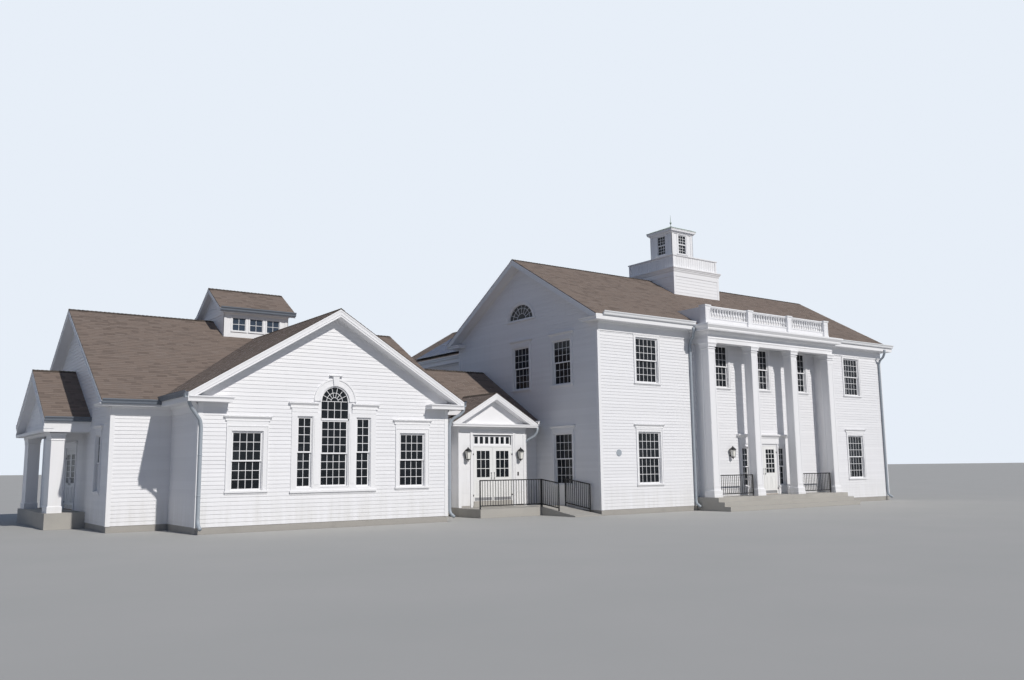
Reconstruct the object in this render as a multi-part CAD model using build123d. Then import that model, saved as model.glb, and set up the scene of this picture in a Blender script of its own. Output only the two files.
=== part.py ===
from build123d import *
import os
from math import cos, pi, sin

# White clapboard town hall: a two storey gabled main block with a portico and a
# cupola, a two storey rear ell, and a one storey wing joined by a low link.
# Millimetres, +Z up. Plan values are measured from the front left corner of the
# main block, and everything is moved to the middle of the plan when written.

# Levels above the lowest ground at the walls
sill_level = 400
floor_level = 550
porch_level = 530
upper_floor_level = 4320
upper_floor_depth = 250

# Walls and foundation
wall_thickness = 200
foundation_thickness = 300
foundation_joint = 2

# Roofs
roof_pitch = 7 / 12
roof_depth = 170
ridge_seam = 2
trim_setback = 20
fascia_depth = 220
rake_depth = 200
frieze_proud = 40

# Main block
main_length = 19200
main_depth = 9900
main_eave = 7650
main_soffit = main_eave - 380
main_frieze_bottom = main_soffit - 190
main_overhang = 440
main_return = 560

# Rear ell
ell_left = 960
ell_right = 8640
ell_rear = 17760
ell_eave = 7200
ell_soffit = ell_eave - 380
ell_overhang = 400
ell_window_bottom = 4790
ell_window_top = 6480

# Wing, left of the main block
wing_left = -16590
wing_right = -4000
wing_front = 4010
wing_rear = 16180
wing_eave = 4050
wing_soffit = wing_eave - 470
wing_frieze_bottom = wing_soffit - 180
wing_overhang = 370

# Cross gable of the wing
cross_left = -14760
cross_right = -6120
cross_front = 1160
cross_eave = 4150
cross_pitch = 0.605
cross_overhang = 440
cross_return = 870

# Link between wing and main block, with the entrance vestibule
link_rear = 9900
link_ridge_y = 7875
link_ridge = 6130
vestibule_left = wing_right - wall_thickness
vestibule_right = -1000
vestibule_front = 3430
vestibule_eave = 3590
vestibule_overhang = 420
vestibule_gable_overhang = 320

# Portico in front of the main block
portico_middle = main_length / 2
portico_projection = 864
portico_bays = 3
portico_bay = 2720
pier_size = 400
pier_capital_height = 180
pier_capital_proud = 45
pier_base_height = 260
portico_beam_bottom = 6900
portico_cornice_bottom = 7370
portico_cornice_proud = 300
portico_ceiling_rise = 350
portico_cheek_thickness = 150
step_run = 300
step_count = 3

# Roof balustrade
balustrade_post = 310
balustrade_setback = 100
balustrade_height = 870
plinth_height = 330
rail_height = 90
rail_width = 150
post_cap_height = 70
post_cap_proud = 30
balusters_per_bay = 14
baluster_radius = 38

# Cupola on the main ridge
cupola_middle = 9500
cupola_base_size = 3120
cupola_base_top = 11050
cupola_cornice_height = 260
cupola_cornice_proud = 180
parapet_size = 3200
parapet_height = 520
parapet_board = 60
lantern_size = 1440
lantern_top = 13250
lantern_wall = 100
lantern_window_width = 500
lantern_window_bottom = 12230
lantern_window_top = 13150
lantern_eave_height = 190
lantern_eave_proud = 190
lantern_roof_rise = 330
finial_height = 620
finial_radius = 14
finial_ball_radius = 45

# Monitor on the wing ridge
monitor_length = 2600
monitor_width = 2650
monitor_wall = 100
monitor_eave = 8150
monitor_overhang = 240
monitor_rise = 1000
monitor_window_width = 540
monitor_window_pitch = 696
monitor_window_bottom = 7300
monitor_window_top = 7830

# Side porch on the wing's left gable
side_porch_depth = 1130
side_porch_width = 5760
side_porch_pier_width = 400
side_porch_pier_depth = 860
side_porch_beam_bottom = 3150
side_porch_eave = 3650
side_porch_overhang = 300

# Doors
door_height = 2100
door_thickness = 45
door_gap = 6
meeting_gap = 9
main_door_width = 1760
vestibule_door_width = 1830
side_door_width = 1760
door_lite_depth = 14
hinge_axis_out = 10
hinge_knuckle_radius = 9
hinge_half_height = 60
hinge_end_gap = 0.3
hinge_strap = 32
hinge_strap_thickness = 12
hinge_inset = 260
pull_height = 260
pull_thickness = 24
pull_standoff = 30
pull_inset = 70
pull_level = 980
transom_bar = 80
transom_top = 3150

# Windows
window_casing = 110
wing_window_casing = 160
casing_proud = 35
crown_height = 190
wing_crown_height = 290
crown_proud = 110
sash_rail = 50
glass_thickness = 8
sill_proud = 70
sill_height = 50
front_window_width = 1230
upper_window_bottom = 5130
upper_window_top = 6960
lower_window_bottom = 1130
lower_window_top = 3180
side_window_width = 1150
wing_window_width = 985
wing_window_bottom = 1230
wing_window_top = 3040
bay_window_offset = 2875
wing_rear_windows = 4
narrow_window_width = 640
narrow_window_inset = 1510
sidelight_width = 460
sidelight_offset = 1230
sidelight_bottom = 900
sidelight_top = 2600
fanlight_radius = 880
fanlight_base = 8160
gable_window_near = 2203
gable_window_middle = main_depth / 2
bay_window_left = 2607

# Palladian window in the cross gable
palladian_middle = -10400
palladian_side_offset = 1025
palladian_side_width = 530
palladian_side_bottom = 1270
palladian_side_top = 3530
palladian_arch_radius = 500
palladian_spring = 4031
palladian_bottom = 1300
palladian_frame_half = 1475
palladian_head_bottom = 3790
palladian_head_height = 190
palladian_head_half = 1600
palladian_arch_casing = 240
palladian_keystone_width = 200
palladian_keystone_height = 420
palladian_sill_bottom = 1077

# Entrance ramp and railing beside the vestibule
landing_level = 320
landing_length = 1500
ramp_width = 1300
ramp_length = 2000
ramp_foot = 40
ramp_gap = 60
railing_height = 1070
railing_post = 40
railing_bar = 16
railing_pitch = 120
railing_bottom_gap = 100
railing_inset = 40
near_railing_length = 1000
far_railing_length = 1430
porch_railing_height = 900

# Wall lanterns
lantern_body_width = 190
lantern_body_height = 320
lantern_cap_height = 160
lantern_cap_proud = 20
lantern_standoff = 60
lantern_middle_height = 2330

# Solar panels on the ell
solar_rows = 2
solar_columns = 5
solar_width = 1000
solar_height = 1600
solar_thickness = 40
solar_clearance = 100
solar_first = 600
solar_up_slope = 700

# Middle of the plan, where the written parts have their origin
plan_left = wing_left - side_porch_depth - side_porch_overhang
plan_right = main_length + main_overhang
plan_front = -portico_projection - portico_cornice_proud - (step_count - 1) * step_run
plan_rear = ell_rear + ell_overhang
plan_middle = Vector((plan_left + plan_right) / 2, (plan_front + plan_rear) / 2, 0)

parts = {}


def box(x0, x1, y0, y1, z0, z1):
    middle = ((x0 + x1) / 2, (y0 + y1) / 2, (z0 + z1) / 2)
    return Pos(*middle) * Box(x1 - x0, y1 - y0, z1 - z0)


def prism(axis, points, start, end):
    """Extrude an outline given across the axis: (y, z) pairs along x, (x, z) pairs along y."""
    if axis == "x":
        outline = [(start, across, up) for across, up in points]
        direction = (1, 0, 0)
    else:
        outline = [(across, start, up) for across, up in points]
        direction = (0, 1, 0)
    face = make_face(Polyline(*outline, close=True))
    return extrude(face, amount=end - start, dir=direction)


def ring(x, y, z, radius, sides):
    """Corner points of a level polygon; four sides give a square of that half width."""
    turn = pi / sides
    reach = radius / cos(turn)
    return [
        (x + reach * cos(turn + 2 * pi * k / sides), y + reach * sin(turn + 2 * pi * k / sides), z)
        for k in range(sides)
    ]


def faceted(rings):
    """Flat sided solid through level polygons that lie one above another."""
    faces = [make_face(Polyline(*rings[0], close=True)).face(), make_face(Polyline(*rings[-1], close=True)).face()]
    for lower, upper in zip(rings, rings[1:]):
        for k in range(len(lower)):
            after = (k + 1) % len(lower)
            corners = (lower[k], lower[after], upper[after], upper[k])
            faces.append(make_face(Polyline(*corners, close=True)).face())
    return Solid(Shell(faces))


def separate(shapes):
    solids = []
    for shape in shapes:
        solids.extend(shape.solids())
    return Compound(children=solids)


def cut_all(shape, cutters):
    for cutter in cutters:
        shape = shape - cutter
    return shape


class Gable:
    """A gabled roof over walls: ridge along one axis, two slopes falling to each side."""

    def __init__(self, axis, start, end, low, high, ridge_line, ridge, pitch, overhang):
        self.axis = axis
        self.start = start
        self.end = end
        self.low = low
        self.high = high
        self.ridge_line = ridge_line
        self.ridge = ridge
        self.pitch = pitch
        self.overhang = overhang

    def top(self, across):
        return self.ridge - self.pitch * abs(across - self.ridge_line)

    def under(self, across):
        return self.top(across) - roof_depth

    def inside(self, start, end):
        """Everything under the roof boards and between the outer wall faces."""
        points = [
            (self.low, 0),
            (self.high, 0),
            (self.high, self.under(self.high)),
            (self.ridge_line, self.ridge - roof_depth),
            (self.low, self.under(self.low)),
        ]
        return prism(self.axis, points, start, end)

    def below(self, start, end, reach):
        """Everything under the roof's top surface, out to its eaves."""
        left = self.low - reach
        right = self.high + reach
        points = [
            (left, 0),
            (right, 0),
            (right, self.top(right)),
            (self.ridge_line, self.ridge),
            (left, self.top(left)),
        ]
        return prism(self.axis, points, start, end)

    def slope(self, side, start, end):
        """One roof slope as a slab with plumb edges."""
        if side < 0:
            edge = self.low - self.overhang
            crest = self.ridge_line - ridge_seam / 2
        else:
            edge = self.high + self.overhang
            crest = self.ridge_line + ridge_seam / 2
        points = [
            (edge, self.under(edge)),
            (edge, self.top(edge)),
            (crest, self.top(crest)),
            (crest, self.under(crest)),
        ]
        return prism(self.axis, points, start, end)

    def eave(self, side, start, end, soffit, frieze_bottom):
        """Boxed eave: frieze board on the wall, soffit and fascia."""
        wall = self.low if side < 0 else self.high
        outer = self.overhang - trim_setback
        points = [
            (wall, frieze_bottom),
            (wall + side * frieze_proud, frieze_bottom),
            (wall + side * frieze_proud, soffit),
            (wall + side * outer, soffit),
            (wall + side * outer, self.under(wall + side * outer)),
            (wall, self.under(wall)),
        ]
        return prism(self.axis, points, start, end)

    def rake(self, side, start, end):
        """Boxed rake under one slope, outside a gable wall."""
        outer = self.overhang - trim_setback
        if side < 0:
            edge = self.low - outer
            crest = self.ridge_line - ridge_seam / 2
        else:
            edge = self.high + outer
            crest = self.ridge_line + ridge_seam / 2
        points = [
            (edge, self.under(edge) - rake_depth),
            (edge, self.under(edge)),
            (crest, self.under(crest)),
            (crest, self.under(crest) - rake_depth),
        ]
        return prism(self.axis, points, start, end)

    def eave_return(self, side, start, end, soffit, length):
        """Short level return of the eave across the foot of a gable."""
        wall = self.low if side < 0 else self.high
        edge = wall + side * (self.overhang - trim_setback)
        edge_top = self.under(edge) - rake_depth
        top = soffit + fascia_depth
        meets = edge - side * max(top - edge_top, 0) / self.pitch
        points = [
            (edge, soffit),
            (wall - side * length, soffit),
            (wall - side * length, top),
            (meets, top),
            (edge, edge_top),
        ]
        return prism(self.axis, points, start, end)


main_half = main_depth / 2
main_ridge = main_eave + roof_pitch * (main_half + main_overhang)
main_roof = Gable("x", 0, main_length, 0, main_depth, main_half, main_ridge, roof_pitch, main_overhang)

ell_middle = (ell_left + ell_right) / 2
ell_ridge = ell_eave + roof_pitch * ((ell_right - ell_left) / 2 + ell_overhang)
ell_roof = Gable("y", main_depth, ell_rear, ell_left, ell_right, ell_middle, ell_ridge, roof_pitch, ell_overhang)

wing_middle_y = (wing_front + wing_rear) / 2
wing_ridge = wing_eave + roof_pitch * ((wing_rear - wing_front) / 2 + wing_overhang)
wing_roof = Gable(
    "x", wing_left, wing_right, wing_front, wing_rear, wing_middle_y, wing_ridge, roof_pitch, wing_overhang
)

cross_middle = (cross_left + cross_right) / 2
cross_ridge = cross_eave + cross_pitch * ((cross_right - cross_left) / 2 + cross_overhang)
cross_roof = Gable(
    "y", cross_front, wing_front, cross_left, cross_right, cross_middle, cross_ridge, cross_pitch, cross_overhang
)

link_roof = Gable(
    "x", wing_right, 0, wing_front, link_rear, link_ridge_y, link_ridge, roof_pitch, wing_overhang
)

vestibule_middle = (vestibule_left + vestibule_right) / 2
vestibule_ridge = vestibule_eave + roof_pitch * ((vestibule_right - vestibule_left) / 2 + vestibule_overhang)
vestibule_roof = Gable(
    "y",
    vestibule_front,
    wing_front,
    vestibule_left,
    vestibule_right,
    vestibule_middle,
    vestibule_ridge,
    roof_pitch,
    vestibule_overhang,
)

side_porch_left = wing_left - side_porch_depth
side_porch_low = wing_middle_y - side_porch_width / 2
side_porch_high = wing_middle_y + side_porch_width / 2
side_porch_ridge = side_porch_eave + roof_pitch * (side_porch_width / 2 + side_porch_overhang)
side_porch_gable = Gable(
    "x",
    side_porch_left,
    wing_left,
    side_porch_low,
    side_porch_high,
    wing_middle_y,
    side_porch_ridge,
    roof_pitch,
    side_porch_overhang,
)

# Windows and doors are drawn facing -Y with their wall's outer face at y = 0,
# and turned to their wall by one of these angles.
front = 0
left = -90
right = 90
rear = 180


def spot(x, y, facing):
    return Location((x, y, 0), (0, 0, facing))


window_cutters = []
window_frames = []
window_glass = []
door_hinges = []


def window(place, width, bottom, top, casing, crown):
    """A casement set in its wall: opening, casing with sill and crown, sash rails and glass."""
    half = width / 2
    window_cutters.append(place * box(-half, half, -wall_thickness, 2 * wall_thickness, bottom, top))
    frame = box(-half, half, -casing_proud, wall_thickness, bottom, top)
    frame += box(-half - casing, half + casing, -casing_proud, 0, bottom, top + casing)
    inner = half - sash_rail
    frame -= box(-inner, inner, -2 * casing_proud, 2 * wall_thickness, bottom + sash_rail, top - sash_rail)
    frame += box(-half - casing, half + casing, -sill_proud, 0, bottom - sill_height, bottom)
    middle = (bottom + top) / 2
    rail_front = wall_thickness / 4
    glass_front = wall_thickness / 2
    frame += box(-inner, inner, rail_front, glass_front, middle - sash_rail / 2, middle + sash_rail / 2)
    if crown:
        crown_bottom = top + casing
        cap_bottom = crown_bottom + crown - crown_height / 2
        reach = half + casing
        frame += box(-reach, reach, -casing_proud, 0, crown_bottom, cap_bottom)
        frame += box(
            -reach - crown_proud,
            reach + crown_proud,
            -casing_proud - crown_proud,
            0,
            cap_bottom,
            crown_bottom + crown,
        )
    window_frames.append(place * frame)
    window_glass.append(
        place * box(-inner, inner, glass_front, glass_front + glass_thickness, bottom + sash_rail, top - sash_rail)
    )


def fanlight(place):
    """Half round light high in a gable."""
    circle = Pos(0, 0, fanlight_base) * Rot(90, 0, 0) * Cylinder(fanlight_radius, 4 * wall_thickness)
    upper = box(-2 * fanlight_radius, 2 * fanlight_radius, -900, 900, fanlight_base, main_ridge)
    window_cutters.append(place * (circle & upper))
    outer = Pos(0, 0, fanlight_base) * Rot(90, 0, 0) * Cylinder(fanlight_radius + window_casing, 4 * wall_thickness)
    casing = outer & upper & box(-2000, 2000, -casing_proud, 0, 0, main_ridge)
    plug = circle & upper & box(-2000, 2000, -casing_proud, wall_thickness, 0, main_ridge)
    inner_radius = fanlight_radius - sash_rail
    inner = Pos(0, 0, fanlight_base) * Rot(90, 0, 0) * Cylinder(inner_radius, 4 * wall_thickness)
    inner = inner & box(-2000, 2000, -900, 900, fanlight_base + sash_rail, main_ridge)
    frame = casing + plug - inner
    reach = fanlight_radius + window_casing
    frame += box(-reach, reach, -sill_proud, 0, fanlight_base - sill_height, fanlight_base)
    window_frames.append(place * frame)
    glass_front = wall_thickness / 2
    pane = inner & box(-2000, 2000, glass_front, glass_front + glass_thickness, 0, main_ridge)
    window_glass.append(place * pane)


def lower_window(place, width):
    window(place, width, lower_window_bottom, lower_window_top, window_casing, crown_height)


def upper_window(place, width, crown):
    window(place, width, upper_window_bottom, upper_window_top, window_casing, crown)


def storey_windows(x, y, facing):
    place = spot(x, y, facing)
    lower_window(place, front_window_width)
    upper_window(place, front_window_width, 0)


def wing_window(place, crown):
    window(place, wing_window_width, wing_window_bottom, wing_window_top, wing_window_casing, crown)


def ell_windows(x, y, facing):
    place = spot(x, y, facing)
    lower_window(place, side_window_width)
    window(place, side_window_width, ell_window_bottom, ell_window_top, window_casing, 0)


def set_windows():
    for x in (bay_window_left, main_length - bay_window_left):
        storey_windows(x, 0, front)
    for bay in range(portico_bays):
        upper_window(spot(portico_middle + (bay - 1) * portico_bay, 0, front), front_window_width, 0)
    for side in (-1, 1):
        place = spot(portico_middle + side * sidelight_offset, 0, front)
        window(place, sidelight_width, sidelight_bottom, sidelight_top, sash_rail, 0)
    for y in (gable_window_near, gable_window_middle):
        upper_window(spot(0, y, left), side_window_width, crown_height)
    lower_window(spot(0, gable_window_near, left), side_window_width)
    fanlight(spot(0, gable_window_middle, left))
    for y in (gable_window_near, gable_window_middle, main_depth - gable_window_near):
        lower_window(spot(main_length, y, right), side_window_width)
        upper_window(spot(main_length, y, right), side_window_width, crown_height)
    fanlight(spot(main_length, gable_window_middle, right))
    for x in (ell_right + bay_window_left, main_length - bay_window_left):
        storey_windows(x, main_depth, rear)
    ell_length = ell_rear - main_depth
    for share in (0.3, 0.7):
        ell_windows(ell_left, main_depth + share * ell_length, left)
        ell_windows(ell_right, main_depth + share * ell_length, right)
        ell_windows(ell_left + share * (ell_right - ell_left), ell_rear, rear)
    for side in (-1, 1):
        wing_window(spot(palladian_middle + side * bay_window_offset, cross_front, front), wing_crown_height)
    for y in (wing_front + narrow_window_inset, wing_rear - narrow_window_inset):
        place = spot(wing_left, y, left)
        window(place, narrow_window_width, wing_window_bottom, wing_window_top, window_casing, crown_height)
    for bay in range(wing_rear_windows):
        x = wing_left + (bay + 0.5) * (wing_right - wing_left) / wing_rear_windows
        wing_window(spot(x, wing_rear, rear), crown_height)


def wall_run(roof, start, end, low, high, bottom=sill_level):
    """A piece of wall under a roof: start to end along the ridge, low to high across it."""
    if roof.axis == "x":
        blank = box(start, end, low, high, bottom, roof.ridge)
    else:
        blank = box(low, high, start, end, bottom, roof.ridge)
    return blank & roof.inside(start, end)


def foundation():
    """A walled ring under each block, parted from its neighbours by a joint."""
    joint = foundation_joint
    rects = [
        (0, main_length, 0, main_depth),
        (ell_left, ell_right, main_depth + joint, ell_rear),
        (wing_left, wing_right, wing_front, wing_rear),
        (cross_left, cross_right, cross_front, wing_front - joint),
        (wing_right + joint, -joint, wing_front + joint, link_rear),
        (vestibule_left, vestibule_right, vestibule_front, wing_front - joint),
    ]
    inset = foundation_thickness
    rings = []
    for x0, x1, y0, y1 in rects:
        ring = box(x0, x1, y0, y1, 0, sill_level)
        if y1 - y0 > 2 * inset:
            ring -= box(x0 + inset, x1 - inset, y0 + inset, y1 - inset, 0, sill_level)
        rings.append(ring)
    parts["foundation"] = separate(rings)


def floors():
    inside = wall_thickness
    joint = foundation_joint
    low = sill_level
    high = floor_level
    door = main_door_width / 2
    main = box(inside, main_length - inside, inside, main_depth - inside, low, high)
    main += box(portico_middle - door, portico_middle + door, 0, inside, low, high)
    rear_room = box(ell_left + inside, ell_right - inside, main_depth, ell_rear - inside, low, high)
    wing_room = box(wing_left + inside, wing_right - inside, wing_front + inside, wing_rear - inside, low, high)
    door = side_door_width / 2
    wing_room += box(wing_left, wing_left + inside, wing_middle_y - door, wing_middle_y + door, low, high)
    bay_rear = wing_front + inside - joint
    bay = box(cross_left + inside, cross_right - inside, cross_front + inside, bay_rear, low, high)
    passage = box(wing_right, 0, wing_front + inside, link_rear - inside, low, high)
    lobby = box(vestibule_left + inside, vestibule_right - inside, vestibule_front + inside, bay_rear, low, high)
    door = vestibule_door_width / 2
    sill_rear = vestibule_front + inside
    lobby += box(vestibule_middle - door, vestibule_middle + door, vestibule_front, sill_rear, low, high)
    parts["ground_floor"] = separate([main, rear_room, wing_room, bay, passage, lobby])
    upper_bottom = upper_floor_level - upper_floor_depth
    upper = [
        box(inside, main_length - inside, inside, main_depth - inside, upper_bottom, upper_floor_level),
        box(ell_left + inside, ell_right - inside, main_depth, ell_rear - inside, upper_bottom, upper_floor_level),
    ]
    parts["upper_floor"] = separate(upper)


def main_block():
    t = wall_thickness
    door_left = portico_middle - main_door_width / 2
    door_right = portico_middle + main_door_width / 2
    head = floor_level + door_height
    front_pieces = [
        wall_run(main_roof, t, door_left, 0, t),
        wall_run(main_roof, door_right, main_length - t, 0, t),
    ]
    over = wall_run(main_roof, door_left, door_right, 0, t, head)
    parts["main_wall_front"] = separate([cut_all(piece, window_cutters) for piece in front_pieces])
    parts["main_wall_over_entrance"] = cut_all(over, window_cutters)
    rear_wall = wall_run(main_roof, t, main_length - t, main_depth - t, main_depth)
    parts["main_wall_rear"] = cut_all(rear_wall, window_cutters)
    gable_left = wall_run(main_roof, 0, t, 0, main_depth)
    gable_right = wall_run(main_roof, main_length - t, main_length, 0, main_depth)
    parts["main_gable_left"] = cut_all(gable_left, window_cutters)
    parts["main_gable_right"] = cut_all(gable_right, window_cutters)
    slopes = [main_roof.slope(side, -main_overhang, main_length + main_overhang) for side in (-1, 1)]
    slopes = [slope - cupola_shaft() for slope in slopes]
    parts["main_roof"] = separate(slopes)


def cupola_shaft():
    """The space in the roof that the cupola's base stands in."""
    half = cupola_base_size / 2 - wall_thickness
    return box(
        cupola_middle - half,
        cupola_middle + half,
        main_half - half,
        main_half + half,
        main_eave,
        cupola_base_top,
    )


def main_cornice():
    outer = main_overhang - trim_setback
    portico_left = portico_middle - portico_half() - portico_cornice_proud
    portico_right = portico_middle + portico_half() + portico_cornice_proud
    trim = [
        main_roof.eave(-1, 0, portico_left, main_soffit, main_frieze_bottom),
        main_roof.eave(-1, portico_right, main_length, main_soffit, main_frieze_bottom),
        main_roof.eave(1, 0, ell_left - ell_overhang, main_soffit, main_frieze_bottom),
        main_roof.eave(1, ell_right + ell_overhang, main_length, main_soffit, main_frieze_bottom),
    ]
    for side in (-1, 1):
        for start, end in ((-outer, 0), (main_length, main_length + outer)):
            trim.append(main_roof.rake(side, start, end))
            trim.append(main_roof.eave_return(side, start, end, main_soffit, main_return))
    for side in (-1, 1):
        trim.append(ell_roof.eave(side, main_depth + main_overhang, ell_rear, ell_soffit, ell_soffit - fascia_depth))
        ell_outer = ell_overhang - trim_setback
        trim.append(ell_roof.rake(side, ell_rear, ell_rear + ell_outer))
        trim.append(ell_roof.eave_return(side, ell_rear, ell_rear + ell_outer, ell_soffit, main_return))
    parts["main_cornice"] = separate(trim)


def ell():
    t = wall_thickness
    side_left = wall_run(ell_roof, main_depth, ell_rear, ell_left, ell_left + t)
    side_right = wall_run(ell_roof, main_depth, ell_rear, ell_right - t, ell_right)
    end = wall_run(ell_roof, ell_rear - t, ell_rear, ell_left + t, ell_right - t)
    parts["ell_wall_left"] = cut_all(side_left, window_cutters)
    parts["ell_wall_right"] = cut_all(side_right, window_cutters)
    parts["ell_wall_rear"] = cut_all(end, window_cutters)
    main_body = main_roof.below(0, main_length, main_overhang)
    slopes = [ell_roof.slope(side, main_half, ell_rear + ell_overhang) - main_body for side in (-1, 1)]
    parts["ell_roof"] = separate(slopes)


def solar_panels():
    """Rows of panels on rails over the ell's left slope."""
    tilt = Plane(
        origin=(ell_left - ell_overhang, main_depth + main_overhang, ell_roof.top(ell_left - ell_overhang)),
        x_dir=(0, 1, 0),
        z_dir=(-roof_pitch, 0, 1),
    )
    rows = []
    length = solar_columns * (solar_width + 20) - 20
    under = solar_clearance - solar_thickness / 2
    for row in range(solar_rows):
        panels = None
        for share in (0.25, 0.75):
            up = solar_up_slope + row * (solar_height + 20) + share * solar_height
            rail = Pos(solar_first + length / 2, -up, (under + 5) / 2) * Box(length, solar_thickness, under + 5)
            panels = rail if panels is None else panels + rail
        for column in range(solar_columns):
            along = solar_first + column * (solar_width + 20) + solar_width / 2
            up = solar_up_slope + row * (solar_height + 20) + solar_height / 2
            panel = Pos(along, -up, solar_clearance) * Box(solar_width, solar_height, solar_thickness)
            panels += panel
        rows.append(tilt * panels)
    parts["solar_panels"] = separate(rows)


def portico_half():
    return portico_bays * portico_bay / 2 + pier_size / 2


def portico():
    half = portico_half()
    x0 = portico_middle - half
    x1 = portico_middle + half
    front_edge = -portico_projection - portico_cornice_proud
    floor = box(x0 - 100, x1 + 100, front_edge, 0, 0, porch_level)
    rise = porch_level / step_count
    for step in range(1, step_count):
        reach = front_edge - step * step_run
        floor += box(x0 - 100, x1 + 100, reach, front_edge, 0, porch_level - step * rise)
    parts["portico_floor"] = floor

    piers = []
    for index in range(portico_bays + 1):
        x = portico_middle + (index - portico_bays / 2) * portico_bay
        y = -portico_projection + pier_size / 2
        reach = pier_size / 2
        pier = box(x - reach, x + reach, y - reach, y + reach, porch_level, portico_beam_bottom)
        wide = reach + pier_capital_proud
        capital_bottom = portico_beam_bottom - pier_capital_height
        pier += box(x - wide, x + wide, y - wide, y + wide, capital_bottom, portico_beam_bottom)
        pier += box(x - wide, x + wide, y - wide, y + wide, porch_level, porch_level + pier_base_height)
        if index in (0, portico_bays):
            cheek_half = portico_cheek_thickness / 2
            pier += box(x - cheek_half, x + cheek_half, y + reach, 0, porch_level, portico_beam_bottom)
        piers.append(pier)
    parts["portico_piers"] = separate(piers)

    beam = box(x0, x1, -portico_projection, 0, portico_beam_bottom, portico_cornice_bottom)
    proud = portico_cornice_proud
    beam += box(
        x0 - proud,
        x1 + proud,
        front_edge,
        -main_overhang,
        portico_cornice_bottom,
        main_eave,
    )
    beam += box(x0 - proud, x1 + proud, -main_overhang, 0, portico_cornice_bottom, main_roof.under(0))
    beam -= box(
        x0 + pier_size,
        x1 - pier_size,
        -portico_projection + pier_size,
        0,
        portico_beam_bottom - 1,
        portico_beam_bottom + portico_ceiling_rise,
    )
    beam -= main_roof.slope(-1, -main_overhang, main_length + main_overhang)
    above = prism(
        "x",
        [
            (-main_overhang, main_roof.top(-main_overhang)),
            (main_half, main_roof.ridge),
            (-main_overhang, main_roof.ridge),
        ],
        0,
        main_length,
    )
    parts["portico_entablature"] = beam - above


def baluster(x, y, bottom, top):
    """Turned baluster: square blocks at the ends and an eight sided vase between."""
    height = top - bottom
    outline = ((0.0, 0.85), (0.14, 0.85), (0.2, 0.5), (0.38, 1.0), (0.72, 0.45), (0.86, 0.85), (1.0, 0.85))
    rings = [ring(x, y, bottom + height * level, baluster_radius * share, 8) for level, share in outline]
    return faceted(rings)


def balustrade():
    half = portico_bays * portico_bay / 2
    y = -portico_projection + balustrade_setback + balustrade_post / 2
    bottom = main_eave
    top = main_eave + balustrade_height
    rail_half = rail_width / 2
    rail_bottom = top - rail_height - 40
    plinth_top = bottom + plinth_height
    whole = box(portico_middle - half, portico_middle + half, y - rail_half, y + rail_half, bottom, plinth_top)
    whole += box(
        portico_middle - half,
        portico_middle + half,
        y - rail_half,
        y + rail_half,
        rail_bottom,
        rail_bottom + rail_height,
    )
    post_half = balustrade_post / 2
    for index in range(portico_bays + 1):
        x = portico_middle - half + index * portico_bay
        whole += box(x - post_half, x + post_half, y - post_half, y + post_half, bottom, top - post_cap_height)
        cap = post_half + post_cap_proud
        whole += box(x - cap, x + cap, y - cap, y + cap, top - post_cap_height, top)
    clear_bay = portico_bay - balustrade_post
    pitch = clear_bay / balusters_per_bay
    turned = []
    for bay in range(portico_bays):
        first = portico_middle - half + bay * portico_bay + post_half
        for index in range(balusters_per_bay):
            x = first + (index + 0.5) * pitch
            turned.append(baluster(x, y, plinth_top, rail_bottom))
    parts["portico_balustrade"] = whole + turned

    cheeks = []
    cheek_half = portico_cheek_thickness / 2
    cheek_top = top - post_cap_height
    reach = main_roof.ridge_line - (main_roof.ridge - cheek_top) / roof_pitch
    for side in (-1, 1):
        x = portico_middle + side * half
        points = [
            (y + post_half, main_eave),
            (-main_overhang, main_eave),
            (reach, cheek_top),
            (y + post_half, cheek_top),
        ]
        cheeks.append(prism("x", points, x - cheek_half, x + cheek_half))
    parts["balustrade_cheeks"] = separate(cheeks)


def square_tier(size, bottom, top):
    half = size / 2
    return box(cupola_middle - half, cupola_middle + half, main_half - half, main_half + half, bottom, top)


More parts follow.
